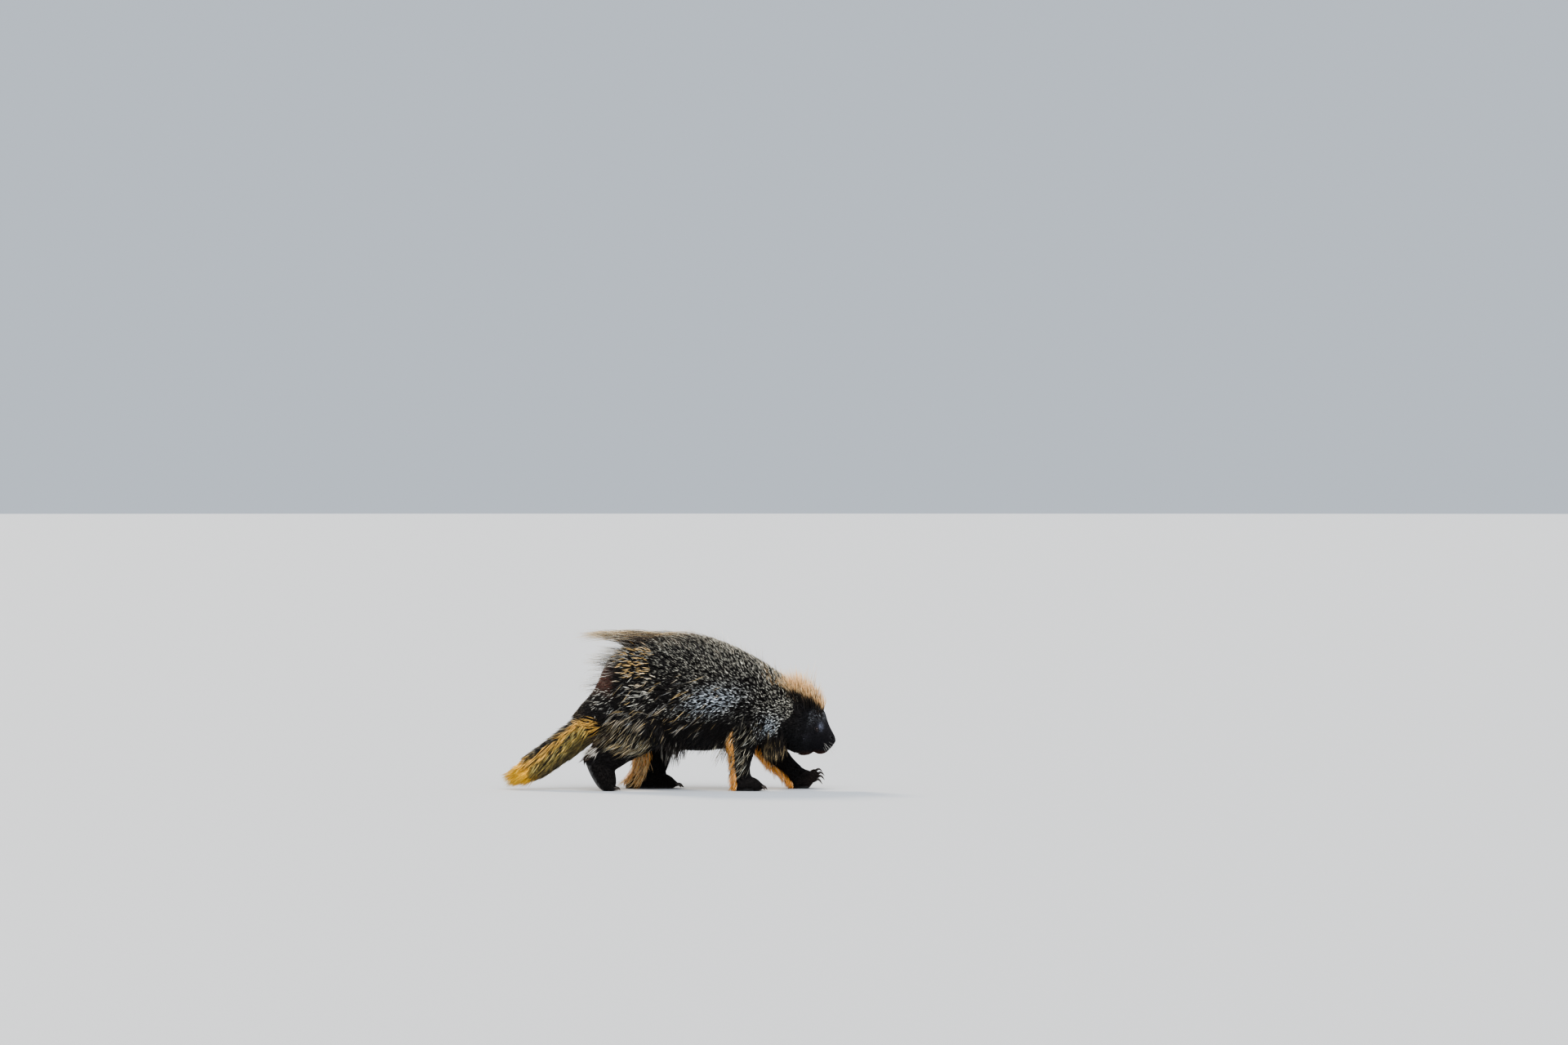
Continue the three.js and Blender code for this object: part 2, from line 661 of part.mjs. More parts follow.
function faceOn(side) {
  const turned = (solid) => (side === "left" ? solid : solid.mirror([0, 1, 0]));
  const eye = facePoint(EYE, -2.6);
  const ear = facePoint(EAR, 5);
  const slant = [0.12, -0.35, -0.35];
  const cup = (grow) => ellipsoid(ear, [10 + grow, 5.5 + grow, 14 + grow], slant, 12, 8);
  const bowl = ellipsoid(ear.clone().add(point(2.5, 4, 0.5)), [7, 4.6, 10.5], slant, 10, 7);
  const corner = MOUTH.map((place) => facePoint(place, 0.4));
  const middle = point(296, 0, 77);
  return {
    eye: turned(ellipsoid(eye, Array(3).fill(EYE_RADIUS), [0, 0, 0], 8, 6)),
    ear: turned(cup(0).subtract(bowl)),
    added: [
      lid(0.1, Math.PI - 0.1, 2.6),
      lid(-0.3, 0.3 - Math.PI, 1.4),
      ellipsoid(point(308, 5, 88), [18, 13, 15], [0, 0, 0], 10, 6), // upper lip
      ellipsoid(point(274, 4, 86), [22, 13, 15], [0, 0, 0], 10, 6), // lower lip and chin
    ].map(turned),
    cut: [
      ellipsoid(eye, Array(3).fill(EYE_RADIUS + NODE_GAP), [0, 0, 0], 8, 6),
      cup(NODE_GAP),
      ellipsoid(facePoint(NOSTRIL, -0.5), [3.6, 1.8, 2.6], [0, 0, 0.5], 8, 6),
      tube([...corner, middle], [0.5, 1.4, 1.2], 4, 5),
    ].map(turned),
  };
}

// Assembly

const materials = {
  coat: new THREE.MeshStandardMaterial({ color: 0x2b2826, roughness: 0.85, metalness: 0 }),
  face: new THREE.MeshStandardMaterial({ color: 0x1c1a1c, roughness: 0.8, metalness: 0 }),
  tail: new THREE.MeshStandardMaterial({ color: 0xa8843c, roughness: 0.75, metalness: 0 }),
  claw: new THREE.MeshStandardMaterial({ color: 0x2a1c16, roughness: 0.4, metalness: 0 }),
  eye: new THREE.MeshStandardMaterial({ color: 0x0b0807, roughness: 0.08, metalness: 0 }),
};

const porcupine = new THREE.Group();

function addNode(name, solid, material) {
  const mesh = new THREE.Mesh(geometryOf(solid), material);
  mesh.name = name;
  porcupine.add(mesh);
}

const tailJoint = { place: point(-140, 0, 142), way: point(74, 0, 34).normalize() };
const neckJoint = { place: point(195, 0, 158), way: point(123, 0, -18).normalize() };
const headJoint = { place: point(243, 0, 143), way: point(102, 0, -22).normalize() };

// Each leg from the torso to the foot, with the foot joined on below its ankle
const limbs = Object.fromEntries(
  Object.entries(legs).map(([name, leg]) => {
    const claws = Array.from({ length: feet[name].toes.count }, (_, toe) => clawOf(name, toe, NODE_GAP));
    const shank = joined([leg.solid((t) => legCoat(t) * CORE_SHARE), ...legLocks(name, 0)]);
    const { bend, ankle } = legJoints[name];
    const whole = joined([shank, footOf(name)]).subtract(belowFloor);
    return [
      name,
      {
        upper: ahead(shank, bend),
        lower: behind(ahead(whole, ankle), bend),
        foot: without(behind(whole, ankle), claws),
        room: joined([leg.solid((t) => legCoat(t) * CORE_SHARE + NODE_GAP), ...legLocks(name, NODE_GAP)]),
      },
    ];
  }),
);
const legRoom = Object.values(limbs).map((limb) => limb.room);

seededRandom(SEED);
const trunk = joined([
  body.solid((t, angle) => bodyCoat(t, angle) * CORE_SHARE),
  tail.solid((t) => tailCoat(t) * CORE_SHARE),
  ...bodyLocks(),
  ...bodyQuills(),
  ...rumpCrest(),
  ...tailLocks(),
]);
const whole = without(trunk, legRoom).subtract(belowFloor);

// The crest on the neck, or the one on the head: each stays whole, and what it leans over is cut clear of it.
const crestOn = (isHead, grow) =>
  crownCrest(grow)
    .filter(({ from }) => from.sub(headJoint.place).dot(headJoint.way) > 0 === isHead)
    .map(({ solid }) => solid);

const torso = behind(ahead(whole, tailJoint), neckJoint);
addNode("torso", without(torso, crestOn(false, NODE_GAP)), materials.coat);
const neck = joined([behind(ahead(whole, neckJoint), headJoint), ...crestOn(false, 0)]);
addNode("neck", without(neck, crestOn(true, NODE_GAP)), materials.coat);
addNode("tail", behind(whole, tailJoint), materials.tail);

const faces = { left: faceOn("left"), right: faceOn("right") };
const features = (kind) => Object.values(faces).flatMap((face) => face[kind]);
const skull = joined([ahead(whole, headJoint), ...crestOn(true, 0), ...features("added")]);
const head = without(skull, [...features("cut"), ...crestOn(false, NODE_GAP)]);
addNode("head", head, materials.face);
for (const [side, face] of Object.entries(faces)) {
  addNode(`eye_${side}`, face.eye, materials.eye);
  addNode(`ear_${side}`, face.ear, materials.face);
}

for (const [name, limb] of Object.entries(limbs)) {
  addNode(`leg_${name}_upper`, limb.upper, materials.coat);
  addNode(`leg_${name}_lower`, limb.lower, materials.coat);
  addNode(`foot_${name}`, limb.foot, materials.face);
  for (let toe = 0; toe < feet[name].toes.count; toe++) {
    addNode(`claw_${name}_${toe + 1}`, clawOf(name, toe), materials.claw);
  }
}

export default porcupine;
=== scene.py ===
import math

import bmesh
import bpy
import numpy as np
from mathutils.bvhtree import BVHTree
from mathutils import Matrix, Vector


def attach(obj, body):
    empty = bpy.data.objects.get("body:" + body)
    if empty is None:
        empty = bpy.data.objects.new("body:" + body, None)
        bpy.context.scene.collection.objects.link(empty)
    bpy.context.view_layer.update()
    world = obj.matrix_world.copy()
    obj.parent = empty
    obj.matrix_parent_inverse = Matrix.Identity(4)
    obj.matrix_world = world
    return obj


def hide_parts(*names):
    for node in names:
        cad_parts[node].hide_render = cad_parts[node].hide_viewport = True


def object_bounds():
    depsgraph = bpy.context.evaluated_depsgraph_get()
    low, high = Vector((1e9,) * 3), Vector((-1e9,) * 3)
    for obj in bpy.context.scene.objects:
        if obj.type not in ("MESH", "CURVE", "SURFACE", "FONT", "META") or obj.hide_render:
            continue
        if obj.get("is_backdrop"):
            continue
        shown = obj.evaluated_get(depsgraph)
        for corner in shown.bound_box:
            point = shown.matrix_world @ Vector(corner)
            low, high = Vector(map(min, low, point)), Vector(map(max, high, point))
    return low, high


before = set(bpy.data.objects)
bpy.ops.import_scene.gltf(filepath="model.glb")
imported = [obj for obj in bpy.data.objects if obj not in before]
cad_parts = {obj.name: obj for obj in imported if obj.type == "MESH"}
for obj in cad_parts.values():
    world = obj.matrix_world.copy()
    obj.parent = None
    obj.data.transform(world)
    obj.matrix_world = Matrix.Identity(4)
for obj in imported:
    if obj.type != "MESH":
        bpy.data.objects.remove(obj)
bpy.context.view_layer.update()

# The view, the light and the floor. A long lens looks level at the right flank from far off, low down. One
# large soft light hangs high on the camera's side, a warmer one stands behind the tail, and the floor is
# pale and matt.
scene = bpy.context.scene
lens = bpy.data.cameras.new("long_lens")
lens.lens = 180
lens.sensor_width = 36
lens.clip_start = 0.5
lens.clip_end = 400
camera = bpy.data.objects.new("camera", lens)
camera.location = (0.234, -15.84, 0.656)
camera.rotation_euler = (math.radians(90 - 0.42), 0, 0)
scene.collection.objects.link(camera)
scene.camera = camera


def soft_light(name, azimuth, height, spread, power, colour):
    """A light from far off, by its bearing and height in degrees, seen as a disc spread degrees wide."""
    lamp = bpy.data.lights.new(name, "SUN")
    lamp.angle = math.radians(spread)
    lamp.energy = power
    lamp.color = colour
    light = bpy.data.objects.new(name, lamp)
    light.rotation_euler = (math.radians(90 - height), 0, math.radians(azimuth))
    scene.collection.objects.link(light)


soft_light("sky_light", 20, 52, 60, 2.6, (1.0, 0.99, 0.97))
soft_light("low_sun", -150, 32, 14, 2.4, (1.0, 0.86, 0.66))

world = bpy.data.worlds.new("studio_air")
world.use_nodes = True
world.node_tree.nodes["Background"].inputs["Color"].default_value = (0.72, 0.79, 0.88, 1)
world.node_tree.nodes["Background"].inputs["Strength"].default_value = 0.75
scene.world = world
scene.view_settings.view_transform = "AgX"
scene.view_settings.look = "AgX - Medium High Contrast"


def plain_material(name, colour, roughness):
    """A new material, and its node tree and its surface shader."""
    material = bpy.data.materials.new(name)
    material.use_nodes = True
    surface = material.node_tree.nodes["Principled BSDF"]
    surface.inputs["Base Color"].default_value = (*colour, 1)
    surface.inputs["Roughness"].default_value = roughness
    return material, material.node_tree, surface


FLOOR_RADIUS = 90  # in metres, so that its far edge is the horizon
floor_mesh = bpy.data.meshes.new("floor")
around = np.linspace(0, 2 * math.pi, 97)[:-1]
rim = [(FLOOR_RADIUS * math.cos(a), FLOOR_RADIUS * math.sin(a), 0) for a in around]
floor_mesh.from_pydata(rim, [], [tuple(range(len(rim)))])
floor = bpy.data.objects.new("floor", floor_mesh)
scene.collection.objects.link(floor)
floor_mesh.materials.append(plain_material("floor_paint", (0.62, 0.64, 0.67), 0.85)[0])
floor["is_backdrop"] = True

# The skin: hide over muscle, in one piece from the nose to the end of the tail and down to the soles. Each
# part is a loft through cross sections, in millimetres: a point on the upper or front edge and one on the
# lower or rear edge, both as (x, z) in the side view, then the half width, where it is widest, and y.
def unit(v):
    return v / np.maximum(np.linalg.norm(v, axis=-1, keepdims=True), 1e-9)


def dot(a, b):
    return np.sum(a * b, axis=-1, keepdims=True)


def ease(x, start, end):
    """0 before start, 1 after end and smooth between them."""
    s = np.clip((x - start) / (end - start), 0, 1)
    return s * s * (3 - 2 * s)


def section(upper, lower, half, widest=0.5, y=0):
    return (*upper, *lower, half, widest, y)


class Loft:
    def __init__(self, *sections):
        self.knots = np.array(sections, float)

    def read(self, t):
        """The section at a share t of the length, on smooth curves through the given ones."""
        k = self.knots
        k = np.vstack([2 * k[0] - k[1], k, 2 * k[-1] - k[-2]])
        place = t * (len(k) - 3)
        i = np.clip(np.floor(place).astype(int), 0, len(k) - 4)
        w = (place - i)[:, None]
        a, b, c, d = k[i], k[i + 1], k[i + 2], k[i + 3]
        pull, push = (c - a) / 2, (d - b) / 2
        bend = 3 * (c - b) - 2 * pull - push
        return b + pull * w + bend * w**2 + (2 * (b - c) + pull + push) * w**3

    def at(self, t, angle, grow=0.0):
        """Surface points. The angle runs from the upper edge towards +Y, and grow moves them out."""
        t, angle, grow = np.broadcast_arrays(np.asarray(t, float), angle, grow)
        s = self.read(t)
        upper = s[:, [0, 6, 1]]
        lower = s[:, [2, 6, 3]]
        middle = lower + (upper - lower) * s[:, 5:6]
        high = (np.cos(angle) > 0)[:, None]
        reach = np.linalg.norm(np.where(high, upper - middle, middle - lower), axis=1)
        rise = ((reach + grow) * np.cos(angle))[:, None] * unit(upper - lower)
        return middle + rise + np.outer((s[:, 4] + grow) * np.sin(angle), (0, 1, 0))

    def frame_at(self, t, angle):
        """Backwards, round towards the belly, and outwards, at surface points."""
        side = np.where(angle < 0, -1.0, 1.0)[:, None]
        back = unit(self.at(t - 0.004, angle) - self.at(t + 0.004, angle))
        down = unit(self.at(t, angle + 0.03) - self.at(t, angle - 0.03)) * side
        out = unit(np.cross(down, back))
        return back, down, out * np.sign(dot(out, self.at(t, angle, 1.0) - self.at(t, angle)))

    def shell(self, rings, sides=40):
        """Points and faces of the closed surface."""
        t, angle = np.meshgrid(np.linspace(0, 1, rings), np.arange(sides) * 2 * np.pi / sides, indexing="ij")
        return closed_shell(self.at(t.ravel(), angle.ravel()).reshape(rings, sides, 3))


def closed_shell(rings):
    """Points and faces of a skin over rings of points, closed by a fan at each end."""
    count, sides = rings.shape[:2]
    points = np.vstack([rings.reshape(-1, 3), rings[0].mean(0), rings[-1].mean(0)])
    first, last = count * sides, count * sides + 1
    faces = []
    for i in range(sides):
        j = (i + 1) % sides
        for r in range(count - 1):
            a = r * sides
            faces.append((a + i, a + sides + i, a + sides + j, a + j))
        faces.append((first, i, j))
        faces.append((last, last - 1 - sides + j, last - 1 - sides + i))
    return points, faces


def tube(path, radii, sides, steps):
    """A round tube along a smooth curve through points, with its girth read the same way."""
    curve = Loft(*[(*p, r, 0, 0, 0) for p, r in zip(path, radii)]).read(np.linspace(0, 1, steps + 1))
    places, girths = curve[:, :3], curve[:, 3]
    way = unit(np.gradient(places, axis=0))
    across = unit(np.cross(way, (0.01, 1, 0.02)))
    over = np.cross(way, across)
    a = np.arange(sides) * 2 * np.pi / sides
    ring = np.cos(a)[:, None] * across[:, None] + np.sin(a)[:, None] * over[:, None]
    return closed_shell(places[:, None] + ring * girths[:, None, None])


def ball(centre, radii, rings=17, sides=28):
    """An ellipsoid, long ways along X, Y and Z."""
    a = np.linspace(0.02, np.pi - 0.02, rings)[:, None]
    b = (np.arange(sides) * 2 * np.pi / sides)[None]
    unit_ball = np.stack(np.broadcast_arrays(np.sin(a) * np.cos(b), np.sin(a) * np.sin(b), np.cos(a)), -1)
    return closed_shell(unit_ball * radii + centre)


trunk = Loft(
    section((-172, 158), (-136, 100), 24),  # root of the tail
    section((-146, 186), (-114, 96), 38),
    section((-120, 222), (-90, 90), 60, 0.45),  # rump
    section((-88, 259), (-56, 87), 76, 0.42),  # hips
    section((-38, 284), (-16, 88), 84, 0.42),  # loin
    section((20, 290), (20, 87), 86, 0.42),  # the top of the arch
    section((76, 283), (70, 84), 82, 0.42),  # back
    section((126, 264), (114, 89), 74, 0.44),  # ribs
    section((170, 241), (152, 92), 64, 0.46),  # shoulders
    section((204, 220), (186, 97), 52),
    section((232, 203), (212, 96), 46),  # neck
    section((256, 194), (234, 92), 44, 0.48),  # back of the skull
    section((280, 186), (254, 80), 42, 0.46),  # ears and cheeks
    section((302, 173), (276, 78), 37, 0.46),  # brow
    section((315, 156), (295, 79), 30, 0.46),  # eyes
    section((321, 138), (309, 77), 25),  # muzzle
    section((328, 122), (321, 79), 21.5, 0.52),  # nostrils
    section((334, 112), (331, 88), 15),
    section((337, 103), (336, 97), 4),
)
tail = Loft(
    section((-161, 169), (-119, 111), 32),
    section((-187, 139), (-157, 99), 26),
    section((-217, 114), (-191, 76), 24),
    section((-248, 88), (-224, 54), 22),
    section((-278, 65), (-256, 34), 17),
    section((-300, 46), (-286, 26), 10),
)
TRACK = 62  # from the middle plane to the middle of each foot
legs = {
    "fore_right": Loft(
        section((188, 176), (144, 180), 16, y=-30),
        section((192, 148), (130, 150), 25, y=-42),
        section((180, 114), (126, 116), 25, y=-54),  # elbow
        section((170, 78), (129, 80), 20, y=-TRACK),
        section((164, 46), (132, 48), 17, y=-TRACK),
        section((168, 18), (135, 14), 17, y=-TRACK),
    ),
    "fore_left": Loft(
        section((200, 172), (156, 184), 16, y=30),
        section((208, 142), (150, 146), 25, y=42),
        section((218, 110), (168, 102), 24, y=54),  # elbow
        section((236, 77), (196, 58), 20, y=TRACK),
        section((258, 52), (228, 32), 18, y=TRACK),
        section((276, 36), (248, 8), 18, y=TRACK),
    ),
    "hind_left": Loft(
        section((-20, 184), (-80, 186), 18, y=34),
        section((4, 150), (-88, 152), 33, y=48),
        section((11, 112), (-78, 112), 33, y=58),  # knee
        section((6, 82), (-66, 76), 27, y=TRACK),
        section((0, 54), (-66, 46), 21, y=TRACK),
        section((-8, 30), (-78, 18), 18, y=TRACK),
    ),
    "hind_right": Loft(
        section((-22, 184), (-84, 190), 18, y=-34),
        section((-2, 146), (-100, 160), 33, y=-48),
        section((-16, 104), (-116, 130), 33, y=-58),  # knee
        section((-50, 78), (-134, 110), 27, y=-TRACK),
        section((-84, 57), (-150, 88), 21, y=-TRACK),
        section((-107, 42), (-164, 68), 17, y=-TRACK),
    ),
}
# Each foot: the sections of its pad, then its toes, and its claws from their ends to their tips. Its roll
# lifts the toes on one side of it.
feet = {
    "fore_right": (
        [
            ((134, 14), (131, -3), 12),
            ((150, 28), (150, -3), 19),
            ((170, 26), (170, -3), 23),
            ((184, 18), (184, -3), 21),
        ],
        dict(
            count=4, radius=5.6, root=(178, 8), end=(191, 7), lift=2,
            spread=9.5, tip=(201, 2.2), arch=3.5, roll=0,
        ),
    ),
    "fore_left": (
        [
            ((256, 32), (247, -3), 14),
            ((272, 37), (266, -3), 20),
            ((286, 33), (282, -1), 23),
            ((294, 29), (292, 9), 21),
        ],
        dict(
            count=4, radius=5.4, root=(289, 20), end=(302, 26), lift=2,
            spread=10, tip=(317, 21), arch=5, roll=20,
        ),
    ),
    "hind_left": (
        [
            ((-86, 14), (-88, -3), 12),
            ((-66, 30), (-66, -3), 17),
            ((-26, 35), (-26, -3), 21),
            ((8, 20), (8, -3), 22),
        ],
        dict(
            count=5, radius=5, root=(3, 8), end=(17, 7), lift=3,
            spread=8.2, tip=(31, 2.2), arch=4, roll=0,
        ),
    ),
    "hind_right": (
        [
            ((-113, 56), (-168, 66), 15),
            ((-109, 44), (-162, 46), 18),
            ((-107, 32), (-152, 25), 20),
            ((-106, 20), (-139, 6), 22),
            ((-106, 14), (-124, -3), 21),
        ],
        dict(
            count=5, radius=4.8, root=(-116, 5), end=(-105, 4.5), lift=1,
            spread=8.2, tip=(-95, 2), arch=3, roll=0,
        ),
    ),
}


def side_of(name):
    return 1 if name.endswith("left") else -1


def pad_of(name):
    return Loft(*[section(*row, y=side_of(name) * TRACK) for row in feet[name][0]])


def toe_paths(name, toe):
    """The path of a toe, and of the claw that follows it. The outer toes start further back and turn out.
    Where a foot rolls over, those on its left side stand higher than those on its right."""
    f = feet[name][1]
    share = 2 * toe / (f["count"] - 1) - 1
    across = share * (f["count"] - 1) * 0.5 * f["spread"]

    def place(spot, reach, rise):
        y = side_of(name) * TRACK + across * reach
        return np.array([spot[0] - 5 * share**2, y, spot[1] + f["roll"] * share * rise], float)

    root, end, tip = place(f["root"], 0.85, 0.15), place(f["end"], 1.1, 0.4), place(f["tip"], 1.25, 0.6)
    knuckle = (root + end) / 2 + (0, 0, f["lift"])
    start = end + 3 * unit(knuckle - end)
    return [root, knuckle, end], [start, (end + tip) / 2 + (0, 0, f["arch"]), tip]


def toe_of(name, toe):
    """A toe as a loft from its root to its end."""
    r = feet[name][1]["radius"]
    rows = zip(toe_paths(name, toe)[0], (r, r, 0.78 * r))
    return Loft(*[section((x, z + r), (x, z - r), r, y=y) for (x, y, z), r in rows])


SKIN_GRAIN = 2.0
shells = [trunk.shell(160, 64), tail.shell(80)]
for name, leg in legs.items():
    shells += [leg.shell(60), pad_of(name).shell(40, 32)]
    for toe in range(feet[name][1]["count"]):
        r = feet[name][1]["radius"]
        shells.append(toe_of(name, toe).shell(14, 20))
        shells.append(ball(toe_paths(name, toe)[0][2], (0.85 * r, 0.74 * r, 0.74 * r)))
for side in (-1, 1):
    shells.append(ball((308, 5 * side, 88), (18, 13, 15)))  # upper lip
    shells.append(ball((274, 4 * side, 86), (22, 13, 15)))  # lower lip and chin


def mesh_of(name, points, faces):
    """A mesh in metres from points in millimetres."""
    mesh = bpy.data.meshes.new(name)
    mesh.from_pydata((np.asarray(points) * 0.001).tolist(), [], [tuple(f) for f in faces])
    mesh.update()
    return mesh


def shown(name, mesh):
    piece = bpy.data.objects.new(name, mesh)
    scene.collection.objects.link(piece)
    return piece


def millimetres(mesh):
    places = np.empty(len(mesh.vertices) * 3)
    mesh.vertices.foreach_get("co", places)
    return places.reshape(-1, 3) * 1000


def put_back(mesh, places):
    mesh.vertices.foreach_set("co", (places * 0.001).ravel())
    mesh.update()


def relaxed(mesh, places, rounds):
    """Places moved half way towards the mean of their neighbours, a few times."""
    ends = np.empty(len(mesh.edges) * 2, dtype=np.int64)
    mesh.edges.foreach_get("vertices", ends)
    a, b = ends.reshape(-1, 2).T
    near = np.bincount(np.concatenate([a, b]), minlength=len(places))[:, None]
    for _ in range(rounds):
        count = len(places)
        total = [np.bincount(a, row[b], count) + np.bincount(b, row[a], count) for row in places.T]
        places = places + 0.5 * (np.stack(total, 1) / near - places)
    return places


def joined_shells(name, shells, grain):
    """One closed mesh round overlapping shells, of quads about a grain across in millimetres."""
    points, faces, start = [], [], 0
    for shell_points, shell_faces in shells:
        points.append(shell_points)
        faces += [tuple(c + start for c in f) for f in shell_faces]
        start += len(shell_points)
    rough = shown(name + "_shells", mesh_of(name + "_shells", np.vstack(points), faces))
    weld = rough.modifiers.new("weld", "REMESH")
    weld.mode = "VOXEL"
    weld.voxel_size = grain * 0.001
    mesh = bpy.data.meshes.new_from_object(rough.evaluated_get(bpy.context.evaluated_depsgraph_get()))
    mesh.name = name
    bpy.data.objects.remove(rough)
    return mesh


skin_mesh = joined_shells("skin", shells, SKIN_GRAIN)
skin_places = relaxed(skin_mesh, millimetres(skin_mesh), 6)
skin_places[:, 2] = np.maximum(skin_places[:, 2], 0)
put_back(skin_mesh, skin_places)
skin = shown("skin", skin_mesh)
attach(skin, "root")
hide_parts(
    "torso",
    "neck",
    "head",
    "tail",
    "ear_left",
    "ear_right",
    *[
        f"{part}_{name}{end}"
        for name in legs
        for part, end in (("leg", "_upper"), ("leg", "_lower"), ("foot", ""))
    ],
)

# The eyes: small dark balls set low on the sides of the head, sunk in it behind lids. A clear bulge over the
# pupil catches the light.
EYE, EYE_RADIUS = (301, 122), 5.4


def face_place(x, z, out=0.0):
    """The place on the left side of the head at a point of the side view, moved out, and how it faces."""
    t, angle = np.meshgrid(np.linspace(0.5, 1, 500), np.linspace(0.02, np.pi - 0.02, 300))
    t, angle = t.ravel(), angle.ravel()
    p = trunk.at(t, angle)
    i = [np.argmin((p[:, 0] - x) ** 2 + (p[:, 2] - z) ** 2)]
    facing = trunk.frame_at(t[i], angle[i])[2][0]
    return p[i[0]] + out * facing, facing


def node(tree, kind, inputs=None, **settings):
    """A new shader node with its settings, and with values for its inputs by name or number."""
    made = tree.nodes.new("ShaderNode" + kind)
    for key, value in settings.items():
        setattr(made, key, value)
    for key, value in (inputs or {}).items():
        made.inputs[key].default_value = value
    return made


def mark(mesh, key, values):
    """Leaves a number or a colour at each point of a mesh, for its material to read."""
    kind, field = ("FLOAT_COLOR", "color") if values.ndim == 2 else ("FLOAT", "value")
    note = mesh.attributes.new(key, kind, "POINT")
    note.data.foreach_set(field, values.ravel().astype(np.float32))


eye_material, tree, surface = plain_material("eye", (0.012, 0.006, 0.004), 0.2)
surface.inputs["Specular IOR Level"].default_value = 0.3
surface.inputs["Coat Weight"].default_value = 0.12
surface.inputs["Coat Roughness"].default_value = 0.03
ring = node(tree, "Attribute", attribute_name="from_pupil")
iris = node(tree, "ValToRGB")
pupil, brown = iris.color_ramp.elements
pupil.position, pupil.color = 0.30, (0.002, 0.002, 0.002, 1)
brown.position, brown.color = 0.36, (0.026, 0.008, 0.005, 1)
rim = iris.color_ramp.elements.new(0.62)
rim.color = (0.008, 0.004, 0.003, 1)
tree.links.new(ring.outputs["Fac"], iris.inputs["Fac"])
tree.links.new(iris.outputs["Color"], surface.inputs["Base Color"])
eye_middle, eye_out = face_place(*EYE, -2.6)
eye_out = unit(eye_out + np.array((0.25, 0, 0.05)))
for side, name in ((1, "left"), (-1, "right")):
    points, faces = ball((0, 0, 0), (1, 1, 1), 41, 60)
    off = np.arccos(np.clip(points @ eye_out, -1, 1))
    bulge = 1 + 0.05 * np.exp(-((off / 0.55) ** 2))
    places = eye_middle + points * (EYE_RADIUS * bulge)[:, None]
    mesh = mesh_of("eye_" + name, places * (1, side, 1), faces if side > 0 else [f[::-1] for f in faces])
    mark(mesh, "from_pupil", off / 1.6)
    mesh.materials.append(eye_material)
    mesh.shade_smooth()
    piece = shown("eyeball_" + name, mesh)
    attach(piece, "root")
    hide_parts("eye_" + name)

# Where the ears stand, and the way that each opens: outwards and a little forwards. Hair keeps clear of the
# cup, which is worked into the skin once the coat is on.
EAR = (266, 163)
EAR_LONG, EAR_HIGH = 8.0, 11.5
ear_middle, ear_out = face_place(*EAR, 1.6)
ear_out = unit(ear_out + np.array((0.5, 0, 0.05)))
ear_ahead = unit(np.cross(ear_out, (0, 0, 1)))
ear_ahead = ear_ahead * np.sign(ear_ahead[0])
ear_up = np.cross(ear_out, ear_ahead)
ear_up = ear_up * np.sign(ear_up[2])


def off_the_ear(paths):
    """Which paths of hair stay out of the cups of the ears."""
    d = np.stack([paths[..., 0], np.abs(paths[..., 1]), paths[..., 2]], -1)[:, 1:] - ear_middle
    r = np.hypot(d @ ear_ahead / EAR_LONG, d @ ear_up / EAR_HIGH)
    return ~((r[:, 0] < 0.7) & (np.abs(d @ ear_out)[:, 0] < 8))


# The markings of hide and coat, which follow the animal's own parts: nearly black on the face, the belly and
# the legs, and reddish brown behind the rump. The pale ends of quills and guard hairs salt it in their turn.
def patch(p, x, z, wide, high, tilt=0.0):
    """1 in the middle of a soft oval on the flanks, in the side view, and 0 well outside it."""
    u, w = p[:, 0] - x, p[:, 2] - z
    c, s = math.cos(tilt), math.sin(tilt)
    return np.exp(-(((u * c + w * s) / wide) ** 2 + ((w * c - u * s) / high) ** 2))


def blend(colours, colour, share):
    return colours + (np.array(colour) - colours) * share[:, None]


def hide_colour(p):
    """Colour of the skin, and of the wool and the lower half of the hair, by place."""
    colour = np.tile((0.016, 0.0135, 0.013), (len(p), 1))
    rump = (1 - ease(p[:, 0], -92, -60)) * ease(p[:, 2], 190, 226) * (1 - ease(p[:, 2], 282, 300))
    colour = blend(colour, (0.150, 0.062, 0.046), rump)
    colour = blend(colour, (0.009, 0.009, 0.010), ease(-p[:, 2], -150, -110) * ease(p[:, 0], -60, 0) * 0.8)
    colour = blend(colour, (0.10, 0.062, 0.022), (1 - ease(p[:, 0], -190, -150)) * 0.7)
    face = ease(p[:, 0], 262, 284)
    colour = blend(colour, (0.014, 0.013, 0.015), face)
    colour = blend(colour, (0.055, 0.024, 0.016), face * (1 - ease(p[:, 2], 74, 84)))
    return colour


# The wool: short dense underfur that hides the hide all over the trunk. Every strand of the coat is a thin
# closed blade of three sides, rooted in the skin, which bends with the body and ends in a point.
def point_facing(mesh):
    """The way that each point of a mesh faces."""
    facing = np.empty(len(mesh.vertices) * 3)
    mesh.vertices.foreach_get("normal", facing)
    return facing.reshape(-1, 3)


loops = np.empty(len(skin_mesh.loops), dtype=np.int32)
skin_mesh.loops.foreach_get("vertex_index", loops)
skin_faces = loops.reshape(-1, 4)
skin_normals = unit(point_facing(skin_mesh)[skin_faces].mean(1))
skin_tree = BVHTree.FromPolygons(skin_places.tolist(), skin_faces.tolist())


def on_skin(points):
    """The nearest places of the skin, which way it faces there, and how far off they are."""
    found = [skin_tree.find_nearest(p) for p in points.tolist()]
    place = np.array([f[0] for f in found])
    return place, skin_normals[[f[2] for f in found]], np.array([f[3] for f in found])


